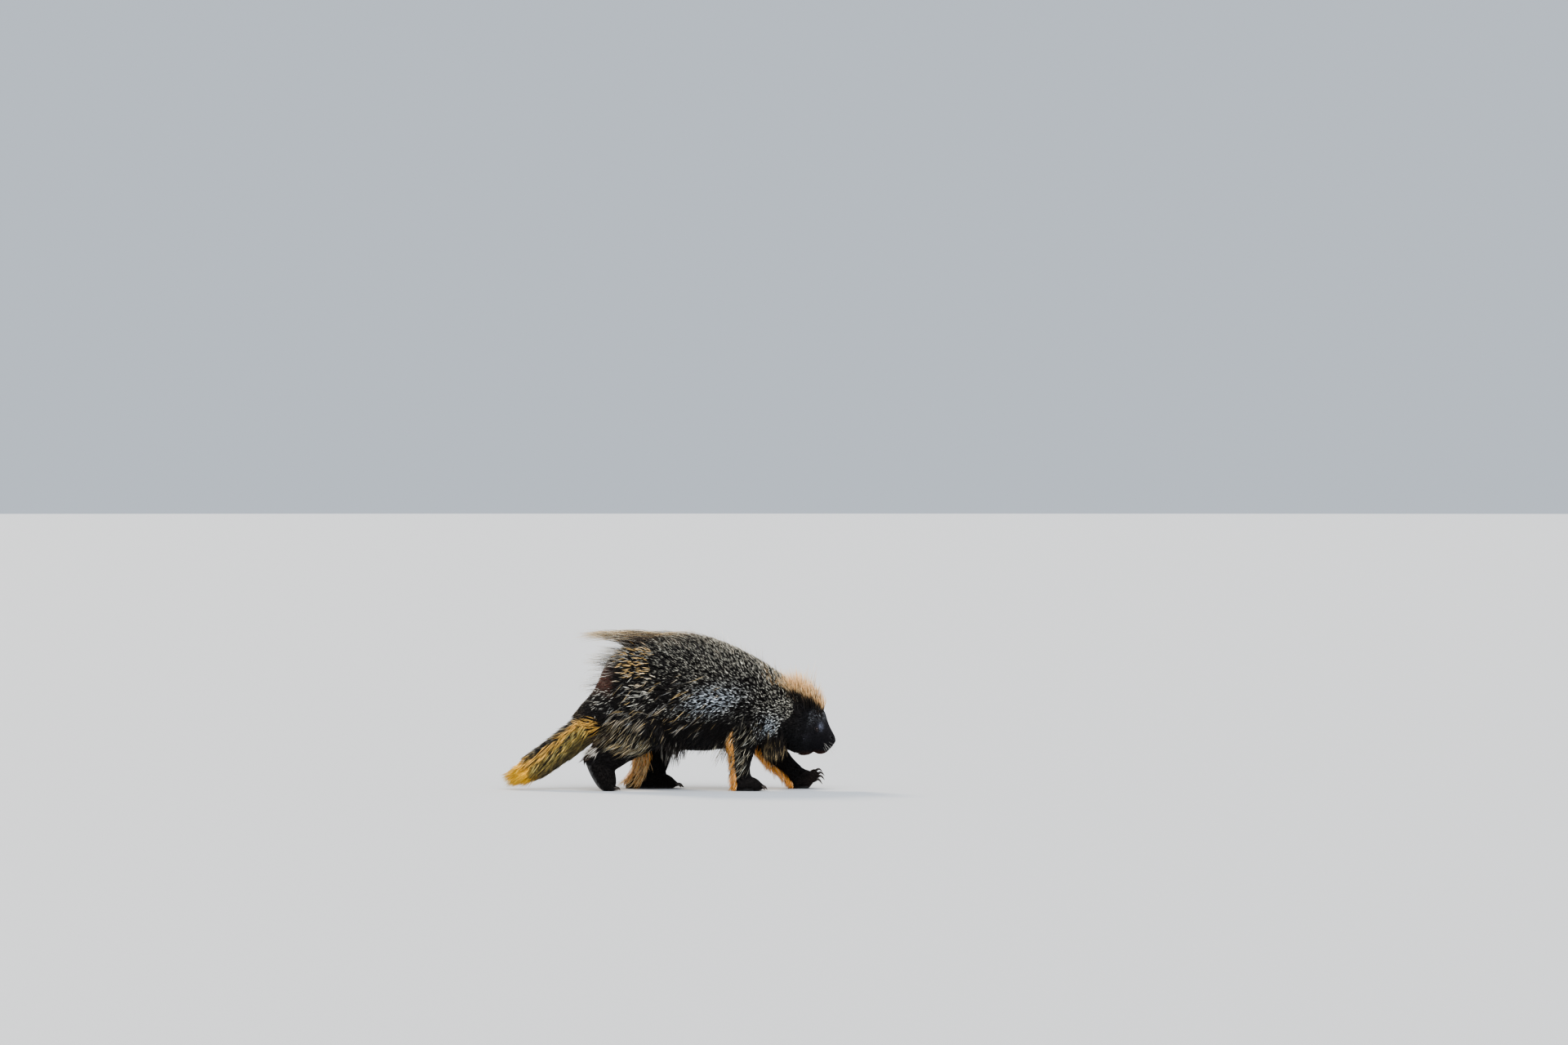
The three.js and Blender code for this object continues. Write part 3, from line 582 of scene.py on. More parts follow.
def sow(part, count, spans, angles, rng, thick=None):
    """Roots spread evenly over part of a loft, on both sides, thinned by how thick the hair stands there."""
    t = np.linspace(*spans, 121)
    a = np.linspace(*angles, 81)
    tt, aa = np.meshgrid((t[1:] + t[:-1]) / 2, (a[1:] + a[:-1]) / 2, indexing="ij")
    tt, aa = tt.ravel(), aa.ravel()
    dt, da = t[1] - t[0], a[1] - a[0]
    along = part.at(tt + dt / 2, aa) - part.at(tt - dt / 2, aa)
    round_ = part.at(tt, aa + da / 2) - part.at(tt, aa - da / 2)
    area = np.linalg.norm(np.cross(along, round_), axis=1)
    if thick:
        area = area * thick(tt, aa, part.at(tt, aa))
    share = np.cumsum(area) / area.sum()
    cell = np.searchsorted(share, (np.arange(count) + rng.random(count)) / count).clip(0, len(tt) - 1)
    t = tt[cell] + dt * (rng.random(count) - 0.5)
    side = np.where(rng.random(count) < 0.5, -1, 1)
    return t, (aa[cell] + da * (rng.random(count) - 0.5)) * side


class Roots:
    """Where strands grow, on a loft and on the skin. Those that another part covers are dropped."""

    def __init__(self, part, t, angle, keep=4.0):
        place, normal, miss = on_skin(part.at(t, angle))
        back, down, out = part.frame_at(t, angle)
        free = (miss < keep) & (np.sum(normal * out, 1) > 0.2)
        self.t, self.angle = t[free], angle[free]
        self.place, self.normal = place[free], normal[free]
        self.back, self.down = back[free], down[free]

    def lie(self, turn, stray, rng):
        """Ways along the skin, turned from straight backwards towards the belly, each a little astray."""
        turn = turn + stray * rng.standard_normal(len(self.t))
        way = self.back * np.cos(turn)[:, None] + self.down * np.sin(turn)[:, None]
        return unit(way - self.normal * dot(way, self.normal))

    def __len__(self):
        return len(self.t)


def rooted(part, count, spans, angles, rng, thick=None, keep=4.0):
    """Roots sown over a part, and how many of them are left."""
    roots = Roots(part, *sow(part, count, spans, angles, rng, thick), keep)
    return roots, len(roots)


def lay(roots, way, length, lift, shares, droop=0.0, sunk=2.0):
    """Paths of hair that lies on the skin, with a point at each share of its length: it follows the form
    below it, and rises to its lift at the tip."""
    base, normal = roots.place, roots.normal
    path, done = [base - normal * sunk], 0
    for share in shares:
        way = way + np.outer(np.broadcast_to(droop, len(way)) * (share - done), (0, 0, -1))
        way = unit(way - normal * dot(way, normal))
        base, normal, _ = on_skin(base + way * (length * (share - done))[:, None])
        path.append(base + normal * (lift * share**0.85)[:, None])
        done = share
    return np.stack(path, 1)


def stand(roots, way, length, lift, shares, droop=0.0, sunk=3.0):
    """Paths of stiff hair and quills that stand off the skin by lift, in radians, and bend down by droop."""
    way = unit(way * np.cos(lift)[:, None] + roots.normal * np.sin(lift)[:, None])
    return hang(roots.place - way * sunk, way, length + sunk, shares, droop)


def hang(start, way, length, shares, droop):
    """Paths of free hair from a start, in a direction that droops on its way."""
    path, done = [start], 0
    for share in shares:
        way = unit(way + np.outer(np.broadcast_to(droop, len(way)) * (share - done), (0, 0, -1)))
        path.append(path[-1] + way * (length * (share - done))[:, None])
        done = share
    return np.stack(path, 1)


def gather(paths, size, pull, rng):
    """Draws strands together into locks, each towards the nearest one of a few of them, most at the tips."""
    heads = rng.choice(len(paths), max(1, len(paths) // size), replace=False)
    nearest = np.empty(len(paths), dtype=int)
    for start in range(0, len(paths), 2000):
        gap = paths[start : start + 2000, None, 0] - paths[None, heads, 0]
        nearest[start : start + 2000] = np.argmin(np.sum(gap**2, 2), 1)
    s = np.linspace(0, 1, paths.shape[1])[None, :, None]
    aim = paths[heads][nearest]
    return paths + (aim - paths) * pull * s**1.5


class Strands:
    """The blades of one piece of the coat."""

    def __init__(self):
        self.points, self.quads, self.tris, self.quad_uv, self.tri_uv = [], [], [], [], []
        self.notes = {"along": [], "band": [], "root_tint": [], "tip_tint": []}
        self.count, self.taken = 0, set()

    def home(self, u, v):
        """A free place for the patch of each strand, next to where its root lies on the unwrapped skin."""
        cells, tries = 320, 400
        spots = []
        for i, j in zip((u * cells).astype(int).tolist(), (v * cells).astype(int).tolist()):
            ring = 0
            spot = (i, j)
            while spot in self.taken or not (0 <= spot[0] < cells and 0 <= spot[1] < cells):
                ring += 1
                reach = 1 + ring // 8
                turn = ring * 0.785
                spot = (i + round(reach * math.cos(turn)), j + round(reach * math.sin(turn)))
                if ring > tries:
                    break
            self.taken.add(spot)
            spots.append(spot)
        return (np.array(spots) + 0.02) / cells

    def add(self, paths, normals, widths, girth, uv, root_tint, tip_tint, band):
        """Blades along paths. The girth gives their width at each point of the path but the last."""
        n, k = paths.shape[:2]
        paths = paths.copy()
        paths[:, 1:, 2] = np.maximum(paths[:, 1:, 2], 0.6)
        way = unit(np.gradient(paths, axis=1))
        across = unit(np.cross(way, normals[:, None] + 0.001))
        over = np.cross(across, way)
        half = 0.5 * widths[:, None] * np.array(girth)[None, :]
        ring = paths[:, : k - 1, None] + half[:, :, None, None] * np.stack(
            [across[:, : k - 1], -across[:, : k - 1], over[:, : k - 1]], 2
        )
        points = np.concatenate([ring.reshape(n, -1, 3), paths[:, -1:]], 1)
        each = 3 * (k - 1) + 1
        start = self.count + each * np.arange(n)[:, None, None]
        quads, quad_uv, tris, tri_uv = [], [], [], []
        for j in range(3):
            m = (j + 1) % 3
            for r in range(k - 2):
                quads.append((3 * r + j, 3 * r + m, 3 * r + 3 + m, 3 * r + 3 + j))
                low, high = r / (k - 1), (r + 1) / (k - 1)
                quad_uv.append(((j / 3, low), ((j + 1) / 3, low), ((j + 1) / 3, high), (j / 3, high)))
            last = 3 * (k - 2)
            tris.append((last + j, last + m, each - 1))
            low = (k - 2) / (k - 1)
            tri_uv.append(((j / 3, low), ((j + 1) / 3, low), ((j + 0.5) / 3, 1)))
        tris.append((2, 1, 0))
        tri_uv.append(((0, 0), (0.1, 0), (0.05, 0.04)))
        home = self.home(*uv)[:, None, None]
        self.points.append(points.reshape(-1, 3))
        self.quads.append((start + np.array(quads)[None]).reshape(-1, 4))
        self.tris.append((start + np.array(tris)[None]).reshape(-1, 3))
        patch_size = 0.003
        self.quad_uv.append((home + patch_size * np.array(quad_uv)[None]).reshape(-1, 2))
        self.tri_uv.append((home + patch_size * np.array(tri_uv)[None]).reshape(-1, 2))
        reach = np.cumsum(np.linalg.norm(np.diff(paths, axis=1), axis=2), axis=1)
        reach = np.concatenate([np.zeros((n, 1)), reach[:, :-1]], 1) / reach[:, -1:]
        along = np.concatenate([np.repeat(reach, 3, axis=1), np.ones((n, 1))], 1)
        self.notes["along"].append(along.ravel())
        self.notes["band"].append(np.repeat(np.broadcast_to(band, n), each))
        for key, tint in (("root_tint", root_tint), ("tip_tint", tip_tint)):
            tint = np.broadcast_to(tint, (n, 3))
            self.notes[key].append(np.repeat(np.concatenate([tint, np.ones((n, 1))], 1), each, axis=0))
        self.count += n * each

    def piece(self, name, slot, material):
        """Makes the piece, and sets it on the body that it rides."""
        points, quads, tris = (np.concatenate(x) for x in (self.points, self.quads, self.tris))
        mesh = bpy.data.meshes.new(name)
        mesh.vertices.add(len(points))
        put_back(mesh, points)
        mesh.loops.add(quads.size + tris.size)
        ends = np.concatenate([quads.ravel(), tris.ravel()])
        mesh.loops.foreach_set("vertex_index", ends.astype(np.int32))
        mesh.polygons.add(len(quads) + len(tris))
        starts = np.concatenate([np.arange(len(quads)) * 4, quads.size + np.arange(len(tris)) * 3])
        mesh.polygons.foreach_set("loop_start", starts.astype(np.int32))
        mesh.update(calc_edges=True)
        mesh.shade_smooth()
        uv = mesh.uv_layers.new(name="OFBake")
        uv.uv.foreach_set("vector", np.concatenate(self.quad_uv + self.tri_uv).ravel().astype(np.float32))
        for key, values in self.notes.items():
            mark(mesh, key, np.concatenate(values))
        mesh.materials.append(material)
        piece = shown(name, mesh)
        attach(piece, "root")


def hair_colours():
    """Shader group: the colour along a strand, from its dark root to its own tip colour past a soft band."""
    group = bpy.data.node_groups.new("hair_colours", "ShaderNodeTree")
    group.interface.new_socket("Softness", in_out="INPUT", socket_type="NodeSocketFloat")
    group.interface.new_socket("Colour", in_out="OUTPUT", socket_type="NodeSocketColor")
    group.interface.new_socket("Roughness", in_out="OUTPUT", socket_type="NodeSocketFloat")
    given, result = group.nodes.new("NodeGroupInput"), group.nodes.new("NodeGroupOutput")
    along, band, root, tip = (
        node(group, "Attribute", attribute_name=key) for key in ("along", "band", "root_tint", "tip_tint")
    )
    past = node(group, "Math", operation="SUBTRACT")
    soft = node(group, "MapRange", {"From Min": 0}, interpolation_type="SMOOTHSTEP")
    mix = node(group, "Mix", data_type="RGBA")
    dull = node(group, "MapRange", {"To Min": 0.62, "To Max": 0.42})
    link = group.links.new
    link(along.outputs["Fac"], past.inputs[0])
    link(band.outputs["Fac"], past.inputs[1])
    link(past.outputs[0], soft.inputs["Value"])
    link(given.outputs["Softness"], soft.inputs["From Max"])
    link(soft.outputs["Result"], mix.inputs["Factor"])
    link(root.outputs["Color"], mix.inputs[6])
    link(tip.outputs["Color"], mix.inputs[7])
    link(mix.outputs[2], result.inputs["Colour"])
    link(along.outputs["Fac"], dull.inputs["Value"])
    link(dull.outputs["Result"], result.inputs["Roughness"])
    return group


HAIR_COLOURS = hair_colours()


def hair_material(name, softness, specular):
    material, tree, surface = plain_material(name, (0.05, 0.04, 0.03), 0.5)
    colours = tree.nodes.new("ShaderNodeGroup")
    colours.node_tree = HAIR_COLOURS
    colours.inputs["Softness"].default_value = softness
    tree.links.new(colours.outputs["Colour"], surface.inputs["Base Color"])
    tree.links.new(colours.outputs["Roughness"], surface.inputs["Roughness"])
    surface.inputs["Specular IOR Level"].default_value = specular
    return material


TWO, THREE, FOUR = (0.5, 1), (0.33, 0.67, 1), (0.25, 0.5, 0.76, 1)
BLUNT = (0.42, 0.86, 1)


def depth_at(t, angle):
    """Depth of the trunk's coat, deepest on the back, shallow on the rump and thinnest on the belly."""
    depth = 15 + 12 * np.cos(angle)
    return depth * (1 - ease(t, 0.56, 0.7)) * (0.45 + 0.55 * ease(t, 0.09, 0.22))


def flow(roots):
    """How far the trunk's hair turns from straight backwards towards the belly: raised on the back, level on
    the sides and falling on the flanks."""
    a = np.abs(roots.angle)
    return -0.5 * ease(a, 0.05, 0.4) * (1 - ease(a, 0.8, 1.25)) + 0.75 * ease(a, 1.15, 1.85)


def shades(colour, rng, spread=0.3):
    """Colours lightened or darkened a little from strand to strand."""
    return np.asarray(colour) * np.exp(spread * rng.standard_normal(len(colour)))[:, None]


def all_of(colour, n):
    return np.tile(np.array(colour, float), (n, 1))


def loft_uv(roots, spans=(0.0, 1.0)):
    """Where roots lie on the unwrapped skin of a part, between two shares of its length."""
    across = (roots.angle / (2 * np.pi) + 0.5).clip(0, 0.999)
    return across, ((roots.t - spans[0]) / (spans[1] - spans[0])).clip(0, 0.999)


def trunk_uv(roots):
    return loft_uv(roots, (0.0, 0.72))


wool_material = hair_material("wool", 0.6, 0.25)
guard_material = hair_material("guard_hair", 0.07, 0.28)
fine_material = hair_material("fine_hair", 0.35, 0.4)

rng = np.random.default_rng(31)
wool = Strands()
roots, n = rooted(trunk, 10000, (0.0, 0.68), (0, np.pi), rng)
length = (20 + 14 * np.cos(roots.angle / 2)) * (1 - 0.45 * ease(roots.t, 0.5, 0.66))
length = length * (0.85 + 0.3 * rng.random(n)) * (0.6 + 0.4 * ease(roots.t, 0.1, 0.22))
paths = lay(roots, roots.lie(flow(roots), 0.25, rng), length, 0.6 * depth_at(roots.t, roots.angle) + 2, TWO)
paths = gather(paths, 14, 0.5, rng)
tint = shades(hide_colour(roots.place), rng, 0.35)
keep = off_the_ear(paths)
wool.add(
    paths[keep], roots.normal[keep], 3.7 + 1.6 * rng.random(keep.sum()), (0.9, 1),
    [x[keep] for x in trunk_uv(roots)], tint[keep], tint[keep] * 1.5, 0.3,
)
wool.piece("coat_wool", "coat", wool_material)


# The guard hair of the trunk, with quills among it: long, stiff and dark, and pale for the last few
# millimetres of many of them, which salts the coat. Each lies back over the next like shingles.
def tips_at(p):
    """By place: the colour of the pale ends, partly a painted sheen of sky light, the share of hairs that
    have one, and how long it is.
    """
    x, z = p[:, 0], p[:, 2]
    pale_tips_and_sky_sheen = patch(p, 82, 181, 64, 30, 0.2)
    shoulder = patch(p, 197, 126, 26, 28)
    # The cool blue grey of these ends is their own pale colour with a painted sheen of sky light on it.
    sky_sheen = np.minimum(1, 1.3 * pale_tips_and_sky_sheen + shoulder)
    colour = blend(all_of((0.52, 0.50, 0.42), len(p)), (0.62, 0.67, 0.72), sky_sheen)
    share = 0.64 + 0.2 * pale_tips_and_sky_sheen + 0.15 * shoulder
    share = share * (1 - 0.85 * patch(p, -12, 196, 30, 52)) * (1 - 0.75 * patch(p, 150, 148, 18, 26))
    low_line = 142 - 45 * ease(x, 158, 178)
    share = share * ease(z - low_line, -12, 14)
    hips = (1 - ease(x, -45, -20)) * (1 - ease(z, 262, 285))
    share = share * (1 - 0.6 * hips) * ease(x, -112, -92)
    face_line = np.interp(z, (96, 135, 155, 181, 230), (206, 224, 245, 259, 275))
    share = share * (1 - ease(x - face_line, -8, 8))
    return colour, share.clip(0, 1), 5.5 + 2.5 * pale_tips_and_sky_sheen + 1.5 * shoulder + 1.5 * ease(z, 215, 260)


for number, spans, count in ((1, (0.0, 0.2), 9500), (2, (0.2, 0.38), 18200), (3, (0.38, 0.66), 18600)):
    guard = Strands()
    roots, n = rooted(trunk, count, spans, (0, 2.5), rng)
    length = (32 + 20 * np.cos(roots.angle / 2)) * (1 - 0.4 * ease(roots.t, 0.46, 0.64))
    length = length * (0.8 + 0.4 * rng.random(n)) * (0.5 + 0.5 * ease(roots.t, 0.1, 0.22))
    lift = depth_at(roots.t, roots.angle) * (0.7 + 0.34 * rng.random(n)) + 1.5
    paths = lay(roots, roots.lie(flow(roots), 0.24, rng), length, lift, (0.86, 1))
    paths = gather(paths, 6, 0.2, rng)
    colour, share, pale_end = tips_at(paths[:, -1])
    pale = rng.random(n) < share
    band = np.where(pale, 1 - pale_end * (0.7 + 0.6 * rng.random(n)) / length, 1.5)
    tint = shades(hide_colour(roots.place), rng)
    keep = off_the_ear(paths)
    guard.add(
        paths[keep], roots.normal[keep], (1.15 + 0.5 * rng.random(n) + 0.25 * pale)[keep], (0.75, 1),
        [x[keep] for x in loft_uv(roots, spans)], tint[keep], shades(colour, rng, 0.45)[keep], band[keep],
    )
    guard.piece(f"coat_guard_{number}", "coat", guard_material)

# The rump: close reddish brown plush over its rear edge, and short blunt quills in cream and gold on the
# hips and above the root of the tail. Long springy hairs, pale at the end, stand out behind it in a loose
# fan below the crest.
rng = np.random.default_rng(53)
rump = Strands()
roots, n = rooted(trunk, 5200, (0.0, 0.2), (0, 1.5), rng)
lift = 8 + 7 * rng.random(n)
paths = lay(roots, roots.lie(0.0, 0.3, rng), 13 + 7 * rng.random(n), lift, TWO)
paths = gather(paths, 8, 0.35, rng)
tint = shades(hide_colour(roots.place), rng)
rump.add(paths, roots.normal, 1.4 + 0.5 * rng.random(n), (0.9, 1), trunk_uv(roots), tint, tint * 1.7, 0.35)


def quills_stand(t, a, p):
    x, z = p[:, 0], p[:, 2]
    hips = ease(-x, 0, 20) * (1 - ease(-x, 56, 78)) * (1 - ease(z, 274, 288)) * ease(z, 168, 205)
    loose = 0.25 + 0.75 * (np.sin(0.5 * x + 2.2 * np.sin(0.17 * z)) > -0.3)
    return hips * loose * (0.55 + 0.45 * ease(z, 215, 240))


def quills_low(t, a, p):
    rear = ease(-p[:, 0], 84, 100) * (1 - ease(-p[:, 0], 134, 150))
    return rear * ease(p[:, 2], 156, 170) * (p[:, 2] < 206)


quill_material = hair_material("quill", 0.08, 0.5)
quills = Strands()
for stands, count, spans, long, wide in (
    (quills_stand, 280, (0.1, 0.34), 30, 1.7),
    (quills_low, 125, (0.0, 0.2), 17, 1.3),
):
    roots, n = rooted(trunk, count, spans, (0.15, 1.9), rng, stands)
    way = unit(roots.lie(0.15, 0.36, rng) * (1, 1, 0.6))
    length = long * (0.75 + 0.5 * rng.random(n))
    lift = depth_at(roots.t, roots.angle) * (0.95 + 0.25 * rng.random(n)) + 4
    paths = lay(roots, way, length, lift, BLUNT, sunk=3)
    yellow = patch(roots.place, -42, 256, 40, 34) * (rng.random(n) < 0.85)
    colour = blend(all_of((0.66, 0.64, 0.56), n), (0.84, 0.54, 0.20), np.minimum(1, 1.4 * yellow))
    start = 0.5 + 0.26 * rng.random(n)
    quills.add(
        paths, roots.normal, wide * (0.65 + 0.6 * rng.random(n)), (0.7, 1, 0.9), trunk_uv(roots),
        (0.02, 0.017, 0.015), shades(colour, rng, 0.35), start,
    )
quills.piece("quills_rump", "coat", quill_material)

FAN_END = -186  # no hair of the fan reaches further back
for count, spans, width, long, climb in (
    (150, (0.09, 0.22), 0.8, 50, 0.16),
    (230, (0.15, 0.24), 0.5, 66, 0.28),
):
    roots, n = rooted(trunk, count, spans, (0, width), rng)
    way = unit(np.stack([-np.ones(n), 0.4 * roots.normal[:, 1], 0.2 * rng.standard_normal(n) + climb], 1))
    long = np.minimum(long + 34 * rng.random(n), roots.place[:, 0] - FAN_END)
    paths = gather(hang(roots.place, way, long, FOUR, 0.35), 4, 0.4, rng)
    colour = shades(all_of((0.75, 0.70, 0.60), n), rng, 0.3)
    rump.add(
        paths, roots.normal, 0.5 + 0.3 * rng.random(n), (0.8, 1, 0.9, 0.7), trunk_uv(roots),
        (0.05, 0.04, 0.034), colour, 0.5,
    )
rump.piece("coat_rump", "coat", fine_material)

# The crest of the rump: a thin band of long fine guard hair that leaves the top of the back and streams out
# level behind it, dark at the root and cream at the end, in loose locks that the air parts.
CREST_END = -194  # no hair of the crest streams further back
rng = np.random.default_rng(47)
crest = Strands()
for count, spans, top, spread in ((470, (0.19, 0.28), 327, 16), (170, (0.26, 0.38), 326, 9)):
    roots, n = rooted(trunk, count, spans, (0, 0.65), rng, lambda t, a, p: np.exp(-((a / 0.3) ** 2)))
    start = roots.place
    length = 90 + 66 * rng.random(n)
    length = np.minimum(length, start[:, 0] - CREST_END - 34 * rng.random(n) ** 1.3)
    rise = top - spread * rng.random(n) ** 1.3 - 26 * roots.angle**2 - start[:, 2]
    fall, stray = 15 * rng.random(n), 0.05 * rng.standard_normal(n)
    points = []
    for share in (0, 0.16, 0.36, 0.66, 1):
        up = rise * (1 - (1 - share) ** 3.2) - fall * share**3
        aside = (0.12 * roots.angle + stray) * length * share
        points.append(start + np.stack([-length * share, aside, up], 1))
    paths = gather(np.stack(points, 1), 5, 0.45, rng)
    colour = blend(all_of((0.90, 0.80, 0.60), n), (0.85, 0.56, 0.24), (rng.random(n) < 0.4) * 0.85)
    crest.add(
        paths, roots.normal, 0.75 + 0.35 * rng.random(n), (0.8, 1, 0.9, 0.6), trunk_uv(roots),
        shades(all_of((0.05, 0.034, 0.024), n), rng, 0.4), shades(colour, rng, 0.3),
        0.3 + 0.4 * rng.random(n),
    )
crest.piece("coat_rump_crest", "coat", fine_material)

# The long guard hair of the hips: thin, springy and straw yellow, in locks with the dark coat between them.
# It leaves the flank above the thigh and sweeps back and down over it. A few such hairs cross the flank.
rng = np.random.default_rng(59)
straw = Strands()


def straw_stands(t, a, p):
    level = ease(p[:, 2], 112, 134) * (1 - ease(p[:, 2], 156, 190))
    return level * (1 - ease(np.abs(p[:, 0] + 58), 24, 54))


def straw_alone(t, a, p):
    level = ease(p[:, 2], 120, 140) * (1 - ease(p[:, 2], 226, 250))
    return level * (1 - ease(p[:, 0], 60, 150)) * (1 - ease(-p[:, 0], 50, 110))


for stands, count, long, size in ((straw_stands, 330, 60, 6), (straw_alone, 380, 52, 2)):
    roots, n = rooted(trunk, count, (0.06, 0.42), (0.7, 2.3), rng, stands)
    lift = depth_at(roots.t, roots.angle) + 2 + 7 * rng.random(n)
    way = roots.lie(0.45, 0.16, rng)
    paths = lay(roots, way, long * (0.75 + 0.5 * rng.random(n)), lift, FOUR, droop=0.3)
    paths = gather(paths, size, 0.62, rng)
    colour = blend(all_of((0.50, 0.51, 0.50), n), (0.80, 0.56, 0.22), rng.random(n) ** 1.5)
    colour = shades(colour, rng, 0.4)
    straw.add(
        paths, roots.normal, 0.7 + 0.35 * rng.random(n), (0.7, 1, 1, 0.8), trunk_uv(roots),
        (0.02, 0.017, 0.013), colour, 0.3 + 0.4 * rng.random(n),
    )
straw.piece("coat_hip_hair", "coat", fine_material)

# The tail: a thick muscular stump in stiff hair, black and full of quills on top, golden along the sides,
# and ending in a brush of yellow bristles that it drags behind it.
rng = np.random.default_rng(61)
tail_material = hair_material("tail_bristle", 0.25, 0.5)
bristles = Strands()
roots, n = rooted(tail, 7200, (0.02, 1.0), (0, np.pi), rng)
a = np.abs(roots.angle)
top = 1 - ease(a, 0.74, 0.96)
under = ease(a, 1.6, 2.3)
brush = ease(roots.t, 0.62, 0.86)
length = (42 + 24 * rng.random(n) - 18 * top - 10 * under) * (1 - 0.3 * ease(roots.t, 0.75, 1))
turn = np.pi + 0.25 * top - 0.25 * ease(a, 0.5, 1.2) * (1 - under)
lift = (9 + 5 * roots.t - 5 * top * (1 - roots.t)) * (0.5 + 0.7 * rng.random(n))
paths = lay(roots, roots.lie(turn, 0.1, rng), length, lift, (0.6, 1))
paths = gather(paths, 13, 0.66, rng)
gold = blend(all_of((0.74, 0.50, 0.13), n), (0.40, 0.37, 0.16), rng.random(n))
gold = blend(gold, (0.95, 0.58, 0.13), np.exp(-(((a - 0.98) / 0.08) ** 2)) * (rng.random(n) < 0.6))
gold = blend(gold, (0.13, 0.10, 0.045), under * 0.85)
gold = blend(gold, (0.035, 0.028, 0.022), top)
gold = blend(gold, (1.0, 0.58, 0.06), brush)
gold = blend(gold, (0.95, 0.72, 0.46), brush * (1 - ease(a, 0.3, 1.0)) * 0.7)
dark = blend(all_of((0.026, 0.018, 0.010), n), (0.80, 0.40, 0.04), brush)
dark = blend(dark, (0.02, 0.016, 0.014), top * (1 - brush))
band = np.where(rng.random(n) < 0.34 * (1 - brush), 0.85, 0.1 + 0.36 * rng.random(n))
bristles.add(
    paths, roots.normal, 1.3 + 0.6 * rng.random(n), (0.8, 1), loft_uv(roots), shades(dark, rng, 0.3),
    shades(gold, rng, 0.35), band,
)
roots, n = rooted(tail, 1200, (0.02, 0.8), (0, 1.0), rng)
paths = stand(roots, roots.lie(np.pi, 0.22, rng), 18 + 9 * rng.random(n), 0.25 + 0.3 * rng.random(n), TWO)
tip = np.where((rng.random(n) < 0.22)[:, None], (0.66, 0.56, 0.36), (0.03, 0.025, 0.022))
bristles.add(
    paths, roots.normal, 1.5 + 0.5 * rng.random(n), (0.8, 1), loft_uv(roots), (0.02, 0.017, 0.015), tip,
    0.45,
)
for part, turn, count, spans, angles in (
    (tail, np.pi - 0.04, 170, (0.0, 0.68), (0.86, 0.98)),
    (trunk, -0.4, 80, (0.04, 0.1), (1.7, 1.92)),
):
    roots, n = rooted(part, count, spans, angles, rng)
    long = 44 + 26 * rng.random(n) + 10 * (part is trunk)
    stray = 0.16 if part is trunk else 0.09
    paths = lay(roots, roots.lie(turn, stray, rng), long, 11 + 6 * rng.random(n), FOUR, droop=0.1)
    paths = gather(paths, 8, 0.6, rng)
    glow = shades(all_of((1.0, 0.60, 0.15), n), rng, 0.25)
    bristles.add(
        paths, roots.normal, 1.0 + 0.4 * rng.random(n), (0.7, 1, 1, 0.7), loft_uv(roots),
        (0.03, 0.02, 0.012), glow, 0.3 + 0.2 * rng.random(n),
    )
roots, n = rooted(tail, 800, (0.8, 1.0), (0, np.pi), rng, keep=12)
way = roots.lie(np.pi, 0.2, rng)
paths = stand(roots, way, 34 + 22 * rng.random(n), 0.1 + 0.2 * rng.random(n), THREE, droop=0.1)
paths = gather(paths, 6, 0.4, rng)
glow = shades(all_of((1.0, 0.62, 0.08), n), rng, 0.2)
bristles.add(
    paths, roots.normal, 1.2 + 0.5 * rng.random(n), (0.8, 1, 0.8), loft_uv(roots), (0.80, 0.40, 0.04),
    glow, 0.15,
)
bristles.piece("coat_tail", "tail_coat", tail_material)
